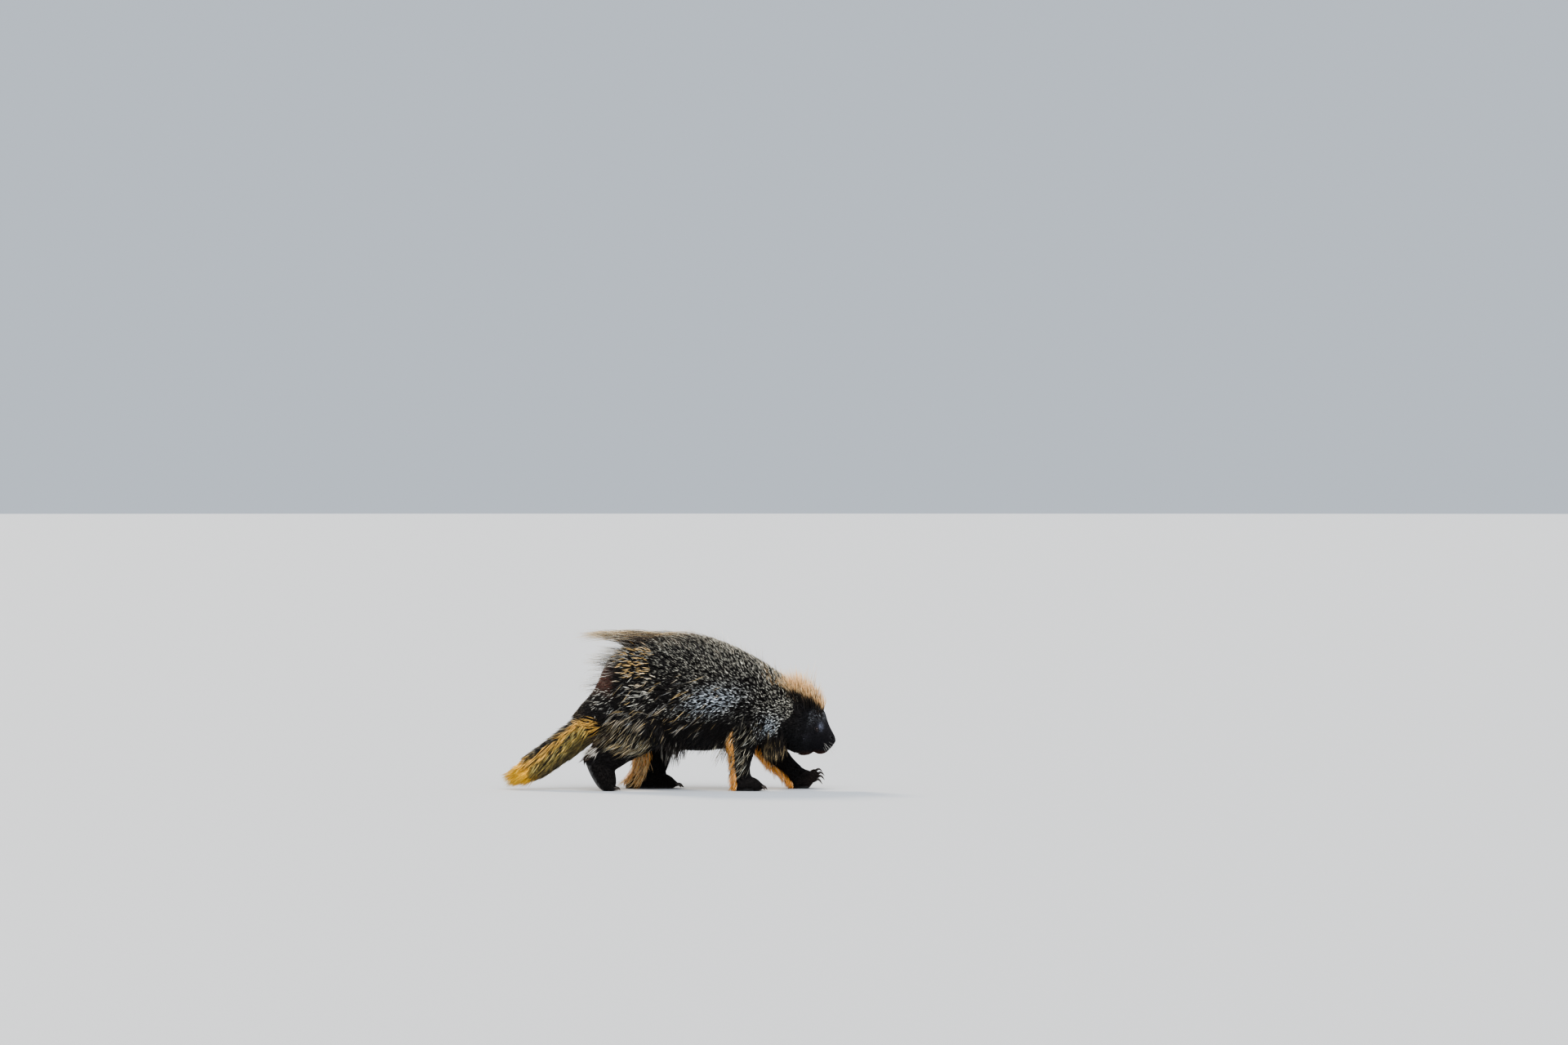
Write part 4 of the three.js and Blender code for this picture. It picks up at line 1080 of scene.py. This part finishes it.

# The coat of the legs: long over the thighs and the upper arms with a few straw tips, short and dark below.
# A soft fringe runs down the rear edges in an orange glow of backlight painted into its colour; on the leg
# with the raised heel, which a white tuft hangs over, it is painted all but dark as shade.
HEEL = (-136, 84)  # where its tuft grows, as (x, z) in the side view
leg_fur = hair_material("leg_fur", 0.4, 0.18)
for number, (name, leg) in enumerate(legs.items()):
    rng = np.random.default_rng(71 + number)
    fur = Strands()
    hind = name.startswith("hind")
    bright = name == "hind_left"
    # The share of painted backlight on the rear edge: the raised right hind leg stands in painted shade.
    lit = 0.03 if name == "hind_right" else 1.0
    roots, n = rooted(leg, 7000, (0.0, 1.02), (0, np.pi), rng)
    rear = ease(np.abs(roots.angle), 2.3, 2.9)
    low = ease(roots.t, 0.35, 0.75)
    outer = roots.angle * side_of(name) > 0
    length = (30 - 15 * low) * (0.8 + 0.4 * rng.random(n)) + 4 * rear
    lift = 2 + 8 * (1 - low) * (0.5 + 0.7 * rng.random(n)) + 3 * rear
    paths = lay(roots, roots.lie(np.pi - 0.3, 0.22, rng), length, lift, TWO)
    paths = gather(paths, 8, 0.45, rng)
    straw_tip = (rng.random(n) < (0.10 if hind else 0.05) * (1 - low)) & outer
    # The orange down the rear edge is a painted glow of backlight.
    orange = lit * rear * ease(roots.t, 0.3, 0.5) * (rng.random(n) < 0.75)
    colour = blend(all_of((0.015, 0.013, 0.0125), n), (0.85, 0.38, 0.09), orange)
    colour[straw_tip] = (0.56, 0.47, 0.26) if hind else (0.50, 0.50, 0.42)
    tint = blend(hide_colour(roots.place) * 0.8, (0.14, 0.055, 0.02), orange * 0.6)
    fur.add(
        paths, roots.normal, 1.35 + 0.6 * rng.random(n), (0.9, 1), loft_uv(roots), shades(tint, rng),
        shades(colour, rng, 0.35), np.where(straw_tip, 0.55, 0.35),
    )
    roots, n = rooted(leg, int(200 + 1200 * lit), (0.28, 1.0), (1.75 if bright else 2.25, np.pi), rng)
    way = roots.lie(np.pi, 0.25, rng)
    length = (38 if bright else 27) * (0.5 + 0.8 * rng.random(n))
    paths = stand(roots, way, length, 0.35 + 0.4 * rng.random(n), THREE, droop=0.3)
    paths = gather(paths, 9, 0.6, rng)
    # The fringe's orange and cream are a painted glow of backlight, brightest on the far hind leg.
    fringe = blend(all_of((0.06, 0.05, 0.045), n), (1.0, 0.47, 0.11), np.full(n, lit))
    fringe = blend(fringe, (1.0, 0.74, 0.42), (rng.random(n) < (0.7 if bright else 0.25)) * lit)
    backlit_root_tint = (0.62, 0.36, 0.15) if bright else (0.36, 0.15, 0.04)
    fur.add(
        paths, roots.normal, 0.8 + 0.35 * rng.random(n), (0.8, 1, 0.7), loft_uv(roots),
        blend(all_of((0.03, 0.022, 0.016), 1), backlit_root_tint, np.array([lit])), shades(fringe, rng, 0.3), 0.2,
    )
    t, angle = sow(leg, 330 if hind else 240, (0.0, 0.55 if hind else 0.75), (0.3, 2.5), rng)
    roots = Roots(leg, t, np.abs(angle) * side_of(name))
    n = len(roots)
    lift = 8 + 7 * rng.random(n)
    long = (44 + 26 * rng.random(n)) * (1 if hind else 0.75)
    paths = lay(roots, roots.lie(np.pi - 0.55, 0.2, rng), long, lift, FOUR, droop=0.3)
    paths = gather(paths, 5 if hind else 2, 0.5, rng)
    colour = blend(all_of((0.55, 0.55, 0.48), n), (0.76, 0.56, 0.26), rng.random(n) * (1 if hind else 0.5))
    fur.add(
        paths, roots.normal, 0.7 + 0.3 * rng.random(n), (0.7, 1, 0.9, 0.7), loft_uv(roots),
        (0.02, 0.017, 0.013), shades(colour, rng, 0.55), 0.35 + 0.3 * rng.random(n),
    )
    if name == "hind_right":
        roots = Roots(leg, *sow(leg, 1300, (0.3, 1.0), (1.6, np.pi), rng))
        heel = (roots.place[:, 0] < HEEL[0]) & (np.abs(roots.place[:, 2] - HEEL[1]) < 7)
        roots = Roots(leg, roots.t[heel], roots.angle[heel])
        n = len(roots)
        way = roots.lie(np.pi, 0.3, rng)
        paths = stand(roots, way, 18 + 10 * rng.random(n), 0.5 + 0.35 * rng.random(n), THREE, 0.2)
        fur.add(
            paths, roots.normal, 0.75 + 0.3 * rng.random(n), (0.8, 1, 0.8), loft_uv(roots),
            (0.2, 0.17, 0.13), (0.85, 0.80, 0.70), 0.1,
        )
    fur.piece(f"coat_leg_{name}", "coat", leg_fur)

# The belly: close dark hair, with a fringe of fine hair on the belly and the chest. Loose locks hang over
# the tops of the forelegs, pale green grey behind the elbows and brown and gold under the neck, and before
# the thighs.
rng = np.random.default_rng(83)
belly = Strands()
roots, n = rooted(trunk, 3900, (0.1, 0.66), (1.9, np.pi), rng)
paths = lay(roots, roots.lie(0.5, 0.3, rng), 18 + 10 * rng.random(n), 3 + 4 * rng.random(n), TWO)
tint = shades(hide_colour(roots.place), rng)
belly.add(paths, roots.normal, 2.0 + 0.8 * rng.random(n), (0.8, 1), trunk_uv(roots), tint, tint * 1.6, 0.4)
roots, n = rooted(trunk, 700, (0.16, 0.62), (2.2, 2.9), rng)
way = roots.lie(0.8, 0.25, rng)
paths = stand(roots, way, 12 + 14 * rng.random(n), 0.5 + 0.3 * rng.random(n), THREE, droop=0.35)
belly.add(
    paths, roots.normal, 0.7 + 0.3 * rng.random(n), (0.8, 1, 0.7), trunk_uv(roots), (0.02, 0.016, 0.014),
    (0.10, 0.085, 0.07), 0.3,
)


def behind_elbow(t, a, p):
    return patch(p, 168, 156, 13, 18) + 0.5 * patch(p, 128, 102, 16, 10)


def under_neck(t, a, p):
    return ease(p[:, 0], 188, 205) * (1 - ease(p[:, 0], 215, 246)) * (1 - ease(p[:, 2], 104, 146))


def before_thigh(t, a, p):
    return patch(p, 14, 96, 16, 14)


for stands, count, spans, long, way, colour in (
    (behind_elbow, 210, (0.32, 0.52), 52, (-0.75, 0.35, -1), (0.60, 0.57, 0.44)),
    (under_neck, 560, (0.44, 0.64), 42, (-0.12, 0.1, -1), (0.58, 0.44, 0.24)),
    (before_thigh, 190, (0.2, 0.36), 46, (-0.15, -0.1, -1), (0.46, 0.44, 0.38)),
):
    roots, n = rooted(trunk, count, spans, (1.2, 3.0), rng, stands)
    way = np.array(way) * np.stack([np.ones(n), np.sign(roots.place[:, 1]), np.ones(n)], 1)
    way = unit(way + 0.35 * roots.normal + 0.2 * rng.standard_normal((n, 3)))
    paths = hang(roots.place - 2 * roots.normal, way, long * (0.4 + 0.9 * rng.random(n)), FOUR, 0.35)
    paths = gather(paths, 7, 0.55, rng)
    belly.add(
        paths, roots.normal, 0.8 + 0.4 * rng.random(n), (0.8, 1, 0.9, 0.7), trunk_uv(roots),
        (0.022, 0.016, 0.012), shades(all_of(colour, n), rng, 0.5),
        np.where(rng.random(n) < (0.8 if stands is behind_elbow else 0.32), 0.3 + 0.4 * rng.random(n), 1.5),
    )
belly.piece("coat_belly", "coat", fine_material)

# The head: coarse salted hair on the cheeks and the nape, then close black plush over the face that shortens
# towards the nose, with a grey bloom on the cheek and a painted highlight, pale and bluish, before the eye.
rng = np.random.default_rng(89)
cheeks = Strands()
roots, n = rooted(trunk, 8600, (0.6, 0.75), (0, np.pi), rng)
front = ease(roots.t, 0.62, 0.73)
length = (22 - 13 * front) * (0.8 + 0.4 * rng.random(n))
lift = (7 - 5 * front) * (0.6 + 0.6 * rng.random(n))
turn = 0.1 + 0.5 * ease(np.abs(roots.angle), 0.6, 2)
paths = lay(roots, roots.lie(turn, 0.26, rng), length, lift, (0.8, 1))
colour, share, pale_end = tips_at(paths[:, -1])
pale = rng.random(n) < share
keep = off_the_ear(paths)
cheeks.add(
    paths[keep], roots.normal[keep], (0.95 + 0.4 * rng.random(n))[keep], (0.8, 1),
    [x[keep] for x in loft_uv(roots, (0.59, 0.76))], shades(hide_colour(roots.place), rng)[keep],
    shades(colour, rng, 0.4)[keep], np.where(pale, 1 - pale_end / length, 1.5)[keep],
)
for side in (1, -1):
    n = 420  # hairs round the rim of an ear
    around = rng.random(n) * 2 * np.pi
    rim = EAR_LONG * 0.98 * np.outer(np.cos(around), ear_ahead)
    rim = rim + EAR_HIGH * 0.98 * np.outer(np.sin(around), ear_up)
    start = (ear_middle + rim * (0.8 + 0.5 * rng.random((n, 1))) + 0.4 * ear_out) * (1, side, 1)
    facing = np.tile(ear_out * (1, side, 1), (n, 1))
    way = unit(0.45 * facing + (-0.9, 0, 0.3) + 0.25 * rng.standard_normal((n, 3)))
    paths = hang(start, way, 9 + 7 * rng.random(n), TWO, 0.4)
    uv = (0.5 + side * (0.2 + 0.05 * rng.random(n)), 0.33 + 0.05 * rng.random(n))
    cheeks.add(
        paths, facing, 0.6 + 0.3 * rng.random(n), (1, 0.9), uv, (0.016, 0.014, 0.014),
        (0.03, 0.026, 0.026), 0.3,
    )
cheeks.piece("coat_cheeks", "face", guard_material)

NOSTRIL = (331.5, 105)
BARE_LIDS, BARE_NOSTRIL = 5.6, 3.4  # how far round them no hair grows
plush = Strands()
t, angle = sow(trunk, 19400, (0.71, 0.995), (0, np.pi), rng, lambda t, a, p: 1 + 1.1 * ease(t, 0.8, 0.95))
p = trunk.at(t, angle)
p[:, 1] = np.abs(p[:, 1])
bare = np.linalg.norm(p - face_place(*EYE)[0], axis=1) < BARE_LIDS
bare |= np.linalg.norm(p - face_place(*NOSTRIL)[0], axis=1) < BARE_NOSTRIL
roots = Roots(trunk, t[~bare], angle[~bare], keep=7)
n = len(roots)
near = ease(roots.t, 0.72, 0.95)
length = (10 - 5.8 * near) * (0.8 + 0.4 * rng.random(n))
lift = (1.7 - 0.9 * near) * (0.6 + 0.8 * rng.random(n))
turn = 0.1 + 0.3 * ease(np.abs(roots.angle), 0.6, 2)
paths = lay(roots, roots.lie(turn, 0.28, rng), length, lift, TWO, sunk=1)
tint = hide_colour(roots.place)
bloom = patch(roots.place, 273, 107, 13, 9) * (rng.random(n) < 0.6)
tip = blend(tint * 1.7, (0.27, 0.26, 0.31), bloom)
brow = patch(roots.place, 309, 154, 8, 17, 0.2) + patch(roots.place, 287, 146, 12, 14)
brow = brow + 0.8 * patch(roots.place, 256, 137, 9, 9)
tip = blend(tip, (0.60, 0.63, 0.66), brow.clip(0, 1) * (rng.random(n) < 0.26))
# A painted highlight before the eye: a pale bluish reflection of the sky on the plush.
tip = blend(tip, (0.34, 0.36, 0.46), patch(roots.place, 311.5, 125, 4, 6.5, 0.3) * 0.8)
width = 0.85 - 0.35 * near + 0.25 * rng.random(n)
plush.add(
    paths, roots.normal, width, (0.9, 1), loft_uv(roots, (0.7, 1.0)), shades(tint, rng),
    shades(tip, rng, 0.25), 0.4,
)
n = 520  # fine hairs on the pad of the nose, spread from a disc before it
turns, reach = 2 * np.pi * rng.random(n), 10 * np.sqrt(rng.random(n))
disc = np.stack([np.full(n, 340.0), reach * np.cos(turns), 102 + reach * np.sin(turns)], 1)
start, facing, _ = on_skin(disc)
way = np.stack([np.zeros(n), 0.12 * reach * np.cos(turns), 0.7 + 0.14 * reach * np.sin(turns)], 1)
way = way + 0.3 * rng.standard_normal((n, 3))
way = unit(way - facing * dot(way, facing) + 0.4 * facing)
paths = hang(start - 0.3 * facing, way, np.full(n, 3.2), TWO, 0.0)
tint = shades(hide_colour(start), rng)
uv = (turns / (2 * np.pi)).clip(0, 0.999), np.full(n, 0.995)
plush.add(paths, facing, 0.45 + 0.2 * rng.random(n), (0.9, 1), uv, tint, tint * 1.7, 0.4)
plush.piece("coat_face", "face", leg_fur)

# The crest of the crown: long fine hair from the nape to the brow that stands up straight, dark at the foot
# and cream above, glowing orange where a glow of backlight is painted into it. Behind it single long hairs
# of the back lean back out of the coat.
HIGHEST_TIP = 331
crown = Strands()
roots, n = rooted(trunk, 2700, (0.5, 0.77), (0, 1.1), rng, lambda t, a, p: 1 - ease(a, 0.55, 1.1))
nape = 1 - ease(roots.t, 0.55, 0.64)
front = ease(roots.t, 0.69, 0.76)
length = (67 - 10 * nape - 26 * front) * (0.5 + 0.52 * rng.random(n)) * (1 - 0.35 * np.abs(roots.angle))
length = length * np.where(rng.random(n) < 0.03, 1.35, 1)
lean = -0.2 - 0.35 * nape + 0.3 * front + 0.17 * rng.standard_normal(n)
way = unit(np.stack([lean, 0.75 * roots.normal[:, 1] + 0.1 * rng.standard_normal(n), np.ones(n)], 1))
paths = hang(roots.place - 3 * way, way, length + 3, THREE, 0.0)
paths = gather(paths, 8, 0.42, rng)
keep = off_the_ear(paths)
# Cream ends, with orange painted in as the glow of backlight.
colour = blend(all_of((0.95, 0.74, 0.44), n), (0.96, 0.52, 0.20), rng.random(n) * (1 - 0.4 * nape))
crown.add(
    paths[keep], roots.normal[keep], (0.75 + 0.35 * rng.random(n))[keep], (0.9, 1, 0.8),
    [x[keep] for x in loft_uv(roots, (0.5, 1.0))], (0.025, 0.019, 0.015), shades(colour, rng, 0.2)[keep],
    (0.32 + 0.12 * rng.random(n) + 0.4 * ease(np.abs(roots.angle), 0.5, 0.9))[keep],
)
roots, n = rooted(trunk, 480, (0.24, 0.62), (0, 0.6), rng)
way = roots.lie(0.0, 0.2, rng)
paths = stand(roots, way, 42 + 26 * rng.random(n), 0.5 + 0.5 * rng.random(n), THREE, 0.1)
reach = np.minimum(1, (HIGHEST_TIP - roots.place[:, 2]) / np.maximum(paths[:, -1, 2] - roots.place[:, 2], 1))
paths = roots.place[:, None] + (paths - roots.place[:, None]) * reach[:, None, None]
colour = shades(all_of((0.62, 0.54, 0.42), n), rng, 0.5)
crown.add(
    paths, roots.normal, 0.55 + 0.25 * rng.random(n), (1, 0.9, 0.7), loft_uv(roots, (0.5, 1.0)),
    (0.02, 0.016, 0.014), colour, 0.5,
)
crown.piece("coat_crown", "face", fine_material)

# The bare parts of the head, worked into the skin: the lids round each eye, the nostrils, the line of the
# mouth between its lips, and the cups of the ears, which stand in the hair.
for reach in (262, 286):  # a finer mesh from the ears forwards, and finer again from behind the eyes
    fine = bmesh.new()
    fine.from_mesh(skin_mesh)
    front = reach / 1000
    edges = [e for e in fine.edges if min(v.co.x for v in e.verts) > front and e.verts[0].co.z > 0.066]
    bmesh.ops.subdivide_edges(fine, edges=edges, cuts=1, use_grid_fill=True)
    fine.to_mesh(skin_mesh)
    fine.free()
    places = millimetres(skin_mesh)
    soft = relaxed(skin_mesh, places, 3)
    head = (places[:, 0] > reach - 4) & (places[:, 2] > 62)
    put_back(skin_mesh, np.where(head[:, None], soft, places))

places = millimetres(skin_mesh)
shape = places.copy()
facing = point_facing(skin_mesh)
leather = np.zeros(len(places))
pink = np.zeros(len(places))
eye_surface, out = face_place(*EYE)
ahead = unit(np.cross(np.cross(out, unit(np.array((0.75, 0, -0.5)))), out))
above = np.cross(out, ahead)
above = above * np.sign(above[2])
MOUTH = [(270, 96), (277, 91), (284, 86), (290, 82), (293, 79)]
MOUTH_FRONT = (296, 0, 76)
MOUTH_STEPS = 60
for side in (1, -1):
    near = (places[:, 1] * side > 0) & (places[:, 0] > 262)
    p = places[near] * (1, side, 1)
    n = facing[near] * (1, side, 1)
    d = p - eye_surface
    u, w, h = d @ ahead, d @ above, d @ out
    r = np.sqrt((u / 5.0) ** 2 + (w / np.where(w > 0, 3.5, 3.0)) ** 2)
    r = np.where(np.abs(h) < 14, r, 99)
    push = 2.6 * ease(r, 1.12, 0.86)
    fold = 1.0 * np.exp(-(((r - 1.26) / 0.22) ** 2)) * np.where(w > 0, 1.15, 0.85)
    crease = 0.6 * np.exp(-(((r - 1.85) / 0.22) ** 2)) + 0.3 * np.exp(-(((r - 2.5) / 0.2) ** 2))
    move = n * (fold - crease)[:, None] - out * push[:, None]
    leather[near] = np.maximum(leather[near], ease(r, 1.75, 1.35))
    hole = face_place(*NOSTRIL)[0]
    d = p - hole
    u, w = d @ unit(np.array((0.75, 0, -0.66))), d @ unit(np.array((0.66, 0, 0.75)))
    r = np.sqrt((u / 3.6) ** 2 + (w / 2.0) ** 2)
    r = np.where(np.linalg.norm(d, axis=1) < 9, r, 99)
    move += -n * (3.2 * ease(r, 1.15, 0.3))[:, None] + n * (0.8 * np.exp(-(((r - 1.6) / 0.4) ** 2)))[:, None]
    leather[near] = np.maximum(leather[near], ease(np.linalg.norm(p - hole, axis=1), 8, 4.5))
    corners = [face_place(x, z)[0] for x, z in MOUTH] + [MOUTH_FRONT]
    line = Loft(*[(*c, 0, 0, 0, 0) for c in corners]).read(np.linspace(0, 1, MOUTH_STEPS))[:, :3]
    gap = np.linalg.norm(p[:, None] - line[None], axis=2)
    off = gap.min(1)
    grow = ease(np.argmin(gap, 1) / (MOUTH_STEPS - 1), 0, 0.25)
    slit = 1.8 * grow * np.exp(-((off / 0.9) ** 2))
    lips = 0.7 * grow * np.exp(-(((off - 2.6) / 1.1) ** 2))
    move += -n * (slit - lips)[:, None]
    # The pale pink along the lip line is the lips' own colour, made paler by a painted highlight.
    pink[near] = np.maximum(pink[near], grow * ease(off, 4.5, 1.5))
    shape[near] += move * (1, side, 1)
put_back(skin_mesh, shape)

# The cup of an ear from its depth over its rim to its root: girth as a share of its size, and how far out.
profile = [
    (0.0, -10.0),
    (0.4, -9.0),
    (0.68, -5.0),
    (0.80, -0.8),
    (0.88, 1.3),
    (0.96, 1.7),
    (1.04, 0.9),
    (1.03, -1.2),
    (0.9, -4.5),
    (0.66, -9),
    (0.4, -14),
]
turns = np.linspace(0, 2 * np.pi, 41)[:-1]
wave = 1 + 0.05 * np.cos(3 * turns + 0.6)
smooth_profile = Loft(*[(r, d, 0, 0, 0, 0, 0) for r, d in profile]).read(np.linspace(0, 1, 37))[:, :2]
rings = np.stack(
    [
        ear_middle
        + np.outer(EAR_LONG * r * wave * np.cos(turns), ear_ahead)
        + np.outer(EAR_HIGH * r * wave * np.sin(turns), ear_up)
        + d * ear_out
        - np.outer(2.5 * max(0, r - 0.6) * np.cos(turns), ear_out)
        for r, d in smooth_profile[1:]
    ]
)
whole = bmesh.new()
whole.from_mesh(skin_mesh)
for side in (1, -1):
    points, faces = closed_shell(rings * (1, side, 1))
    corners = [whole.verts.new(p * 0.001) for p in points]
    for f in faces:
        whole.faces.new([corners[c] for c in (f if side > 0 else f[::-1])])
whole.to_mesh(skin_mesh)
whole.free()
leather = np.append(leather, np.full(len(skin_mesh.vertices) - len(leather), 0.2))
pink = np.append(pink, np.zeros(len(skin_mesh.vertices) - len(pink)))

# The hide itself: dark skin under the coat, smooth leather on the nose and the lids, pinkish lips that are
# paler by a painted highlight, and grey soles with a grain of small pebbles, which show where the right hind
# foot leaves the floor. Its colour is mottled by the pores, and on the soles is painted lighter on the
# pebbles and darker between them, as painted light and shade.
skin_places = millimetres(skin_mesh)
skin_facing = point_facing(skin_mesh)
sole = np.zeros(len(skin_places))
for name in legs:
    foot = np.abs(skin_places[:, 1] - side_of(name) * TRACK) < 32
    if name == "hind_right":
        foot &= (skin_places[:, 0] < -118) & (skin_places[:, 2] < 66)
        down = (skin_facing @ unit(np.array((-0.9, 0, -0.42))) + 0.05 * (skin_places[:, 2] < 14)).clip(0, 1)
    else:
        foot &= skin_places[:, 2] < 6
        down = -skin_facing[:, 2]
    sole = np.maximum(sole, np.where(foot, ease(down, 0.45, 0.8), 0))
tint = hide_colour(skin_places)
tint = blend(tint, (0.018, 0.015, 0.016), leather * 0.8)
# Pinkish lips, made paler by a painted highlight.
tint = blend(tint, (0.20, 0.10, 0.08), pink * 0.75)
tint = blend(tint, (0.085, 0.08, 0.076), sole)
skin_material, tree, surface = plain_material("hide", (0.02, 0.016, 0.015), 0.6)
mark(skin_mesh, "hide", np.concatenate([tint, np.ones((len(tint), 1))], 1))
mark(skin_mesh, "sole", sole)
mark(skin_mesh, "leather", leather)
hide_tint, soles, smooth = (
    node(tree, "Attribute", attribute_name=key) for key in ("hide", "sole", "leather")
)
place = node(tree, "TexCoord")
pebbles = node(tree, "TexVoronoi", {"Scale": 520}, feature="SMOOTH_F1")
domes = node(tree, "Math", {1: -1.5, 2: 1.0}, operation="MULTIPLY_ADD")
pores = node(tree, "TexNoise", {"Scale": 900, "Detail": 4})
relief = node(tree, "Mix")
bump = node(tree, "Bump", {"Strength": 0.5, "Distance": 0.0012})
# The pores mottle the hide's colour; on the soles the pebbles are painted lighter and the cracks between
# them darker, as painted light and shade.
pore_mottle_and_pebble_shade = node(tree, "MapRange", {"From Min": 0.1, "From Max": 0.9, "To Min": 0.45, "To Max": 1.5})
hide_with_pebble_shade = node(tree, "Mix", {"Factor": 1}, data_type="RGBA", blend_type="MULTIPLY")
wet = node(tree, "MapRange", {"To Min": 0.62, "To Max": 0.36})
link = tree.links.new
link(place.outputs["Object"], pebbles.inputs["Vector"])
link(pebbles.outputs["Distance"], domes.inputs[0])
link(place.outputs["Object"], pores.inputs["Vector"])
link(soles.outputs["Fac"], relief.inputs["Factor"])
link(pores.outputs["Fac"], relief.inputs["A"])
link(domes.outputs["Value"], relief.inputs["B"])
link(relief.outputs[0], bump.inputs["Height"])
link(bump.outputs["Normal"], surface.inputs["Normal"])
link(relief.outputs[0], pore_mottle_and_pebble_shade.inputs["Value"])
link(hide_tint.outputs["Color"], hide_with_pebble_shade.inputs[6])
link(pore_mottle_and_pebble_shade.outputs["Result"], hide_with_pebble_shade.inputs[7])
link(hide_with_pebble_shade.outputs[2], surface.inputs["Base Color"])
link(smooth.outputs["Fac"], wet.inputs["Value"])
link(wet.outputs["Result"], surface.inputs["Roughness"])
skin_mesh.materials.clear()
skin_mesh.materials.append(skin_material)
skin_mesh.shade_smooth()

# The whiskers: thin springy pale bristles, rooted in the upper lips on both sides of the muzzle, which droop
# forwards past the mouth.
WHISKERS = 11
rng = np.random.default_rng(97)
whiskers = Strands()
paths, facings, marks = [], [], []
for side in (1, -1):
    for _ in range(WHISKERS):
        x, z = 312 + 12 * rng.random(), 86 + 14 * rng.random()
        start, out = face_place(x, z, -0.5)
        way = unit(out + np.array((0.9 + 0.9 * rng.random(), 0, -0.2 - 1.3 * rng.random())))
        path = [start]
        for _ in range(5):
            way = unit(way + np.array((0, 0, -0.07)))
            path.append(path[-1] + way * (3.5 + 3 * rng.random()))
        paths.append(np.array(path) * (1, side, 1))
        facings.append(out * (1, side, 1))
        marks.append((0.5 + side * 0.2 * rng.random(), 0.9 + 0.05 * rng.random()))
whiskers.add(
    np.array(paths), np.array(facings), np.full(len(paths), 0.3), (1, 0.9, 0.8, 0.6, 0.4),
    tuple(np.array(marks).T), (0.10, 0.08, 0.07), (0.7, 0.68, 0.62), 0.1,
)
whiskers.piece("whiskers", "face", quill_material)

# The feet: short dark hair down over the toes, thin enough to show them, and none on the soles. The hair of
# each foot is one piece, grown on its pad and on each of its toes.
for number, name in enumerate(legs):
    rng = np.random.default_rng(101 + number)
    fur = Strands()
    parts = [(pad_of(name), 3300, (0.02, 0.98), 2.35 if name == "hind_right" else 2.15, (0, 0.8))]
    for toe in range(feet[name][1]["count"]):
        parts.append((toe_of(name, toe), 150, (0.1, 0.95), 1.9, (0.8 + 0.04 * toe, 0.84 + 0.04 * toe)))
    for part, count, spans, round_, strip in parts:
        t, angle = sow(part, count, spans, (0, round_), rng)
        thins = np.abs(angle) < round_ * (0.78 + 0.22 * rng.random(count)) + 0.1 * np.sin(40 * t)
        roots = Roots(part, t[thins], angle[thins], keep=3)
        if not len(roots):
            continue
        n = len(roots)
        fine = 1 - 0.4 * (strip[0] > 0)
        way = roots.lie(np.pi - 0.1, 0.25, rng)
        length = (10 + 5 * rng.random(n)) * fine
        paths = lay(roots, way, length, 1 + 1.8 * rng.random(n), TWO, sunk=1)
        tint = shades(blend(hide_colour(roots.place), (0.015, 0.0125, 0.0115), np.full(n, 0.9)), rng)
        across, up = loft_uv(roots)
        uv = across, strip[0] + (strip[1] - strip[0]) * up
        fur.add(
            paths, roots.normal, (0.95 + 0.4 * rng.random(n)) * fine, (0.8, 1), uv, tint, tint * 1.4, 0.3,
        )
    fur.piece(f"coat_foot_{name}", "foot", leg_fur)

# The claws: long curved horn, dark at the root and worn paler at the tip. Each grows from the end of a toe,
# and those of a foot are one piece.
horn, tree, surface = plain_material("horn", (0.06, 0.04, 0.03), 0.35)
tone = node(tree, "Attribute", attribute_name="along")
ramp = node(tree, "ValToRGB")
ramp.color_ramp.elements[0].color = (0.014, 0.010, 0.008, 1)
ramp.color_ramp.elements[1].color = (0.060, 0.042, 0.031, 1)
grain = node(tree, "TexNoise", {"Scale": 700})
place = node(tree, "TexCoord")
stretch = node(tree, "Mapping", {"Scale": (0.15, 1, 1)})
ridge = node(tree, "Bump", {"Distance": 0.0003, "Strength": 0.5})
link = tree.links.new
link(place.outputs["Object"], stretch.inputs["Vector"])
link(stretch.outputs["Vector"], grain.inputs["Vector"])
link(grain.outputs["Fac"], ridge.inputs["Height"])
link(ridge.outputs["Normal"], surface.inputs["Normal"])
link(tone.outputs["Fac"], ramp.inputs["Fac"])
link(ramp.outputs["Color"], surface.inputs["Base Color"])
for name in legs:
    points, faces, along = [], [], []
    for toe in range(feet[name][1]["count"]):
        r = feet[name][1]["radius"]
        path = toe_paths(name, toe)[1]
        claw_points, claw_faces = tube(path, (0.6 * r, 0.42 * r, 0.35), 16, 16)
        reach = ((claw_points[:, 0] - path[0][0]) / (path[2][0] - path[0][0])).clip(0, 1)
        middle = path[0][1] + (path[2][1] - path[0][1]) * reach
        claw_points[:, 1] = middle + (claw_points[:, 1] - middle) * 0.72
        faces += [tuple(c + sum(map(len, points)) for c in f) for f in claw_faces]
        points.append(claw_points)
        along.append(reach)
    mesh = mesh_of("claws_" + name, np.vstack(points), faces)
    mark(mesh, "along", np.concatenate(along))
    mesh.materials.append(horn)
    mesh.shade_smooth()
    piece = shown("claws_" + name, mesh)
    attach(piece, "root")
    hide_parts(*[f"claw_{name}_{toe + 1}" for toe in range(feet[name][1]["count"])])

# How far the solids and the finished model reach.
low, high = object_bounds()
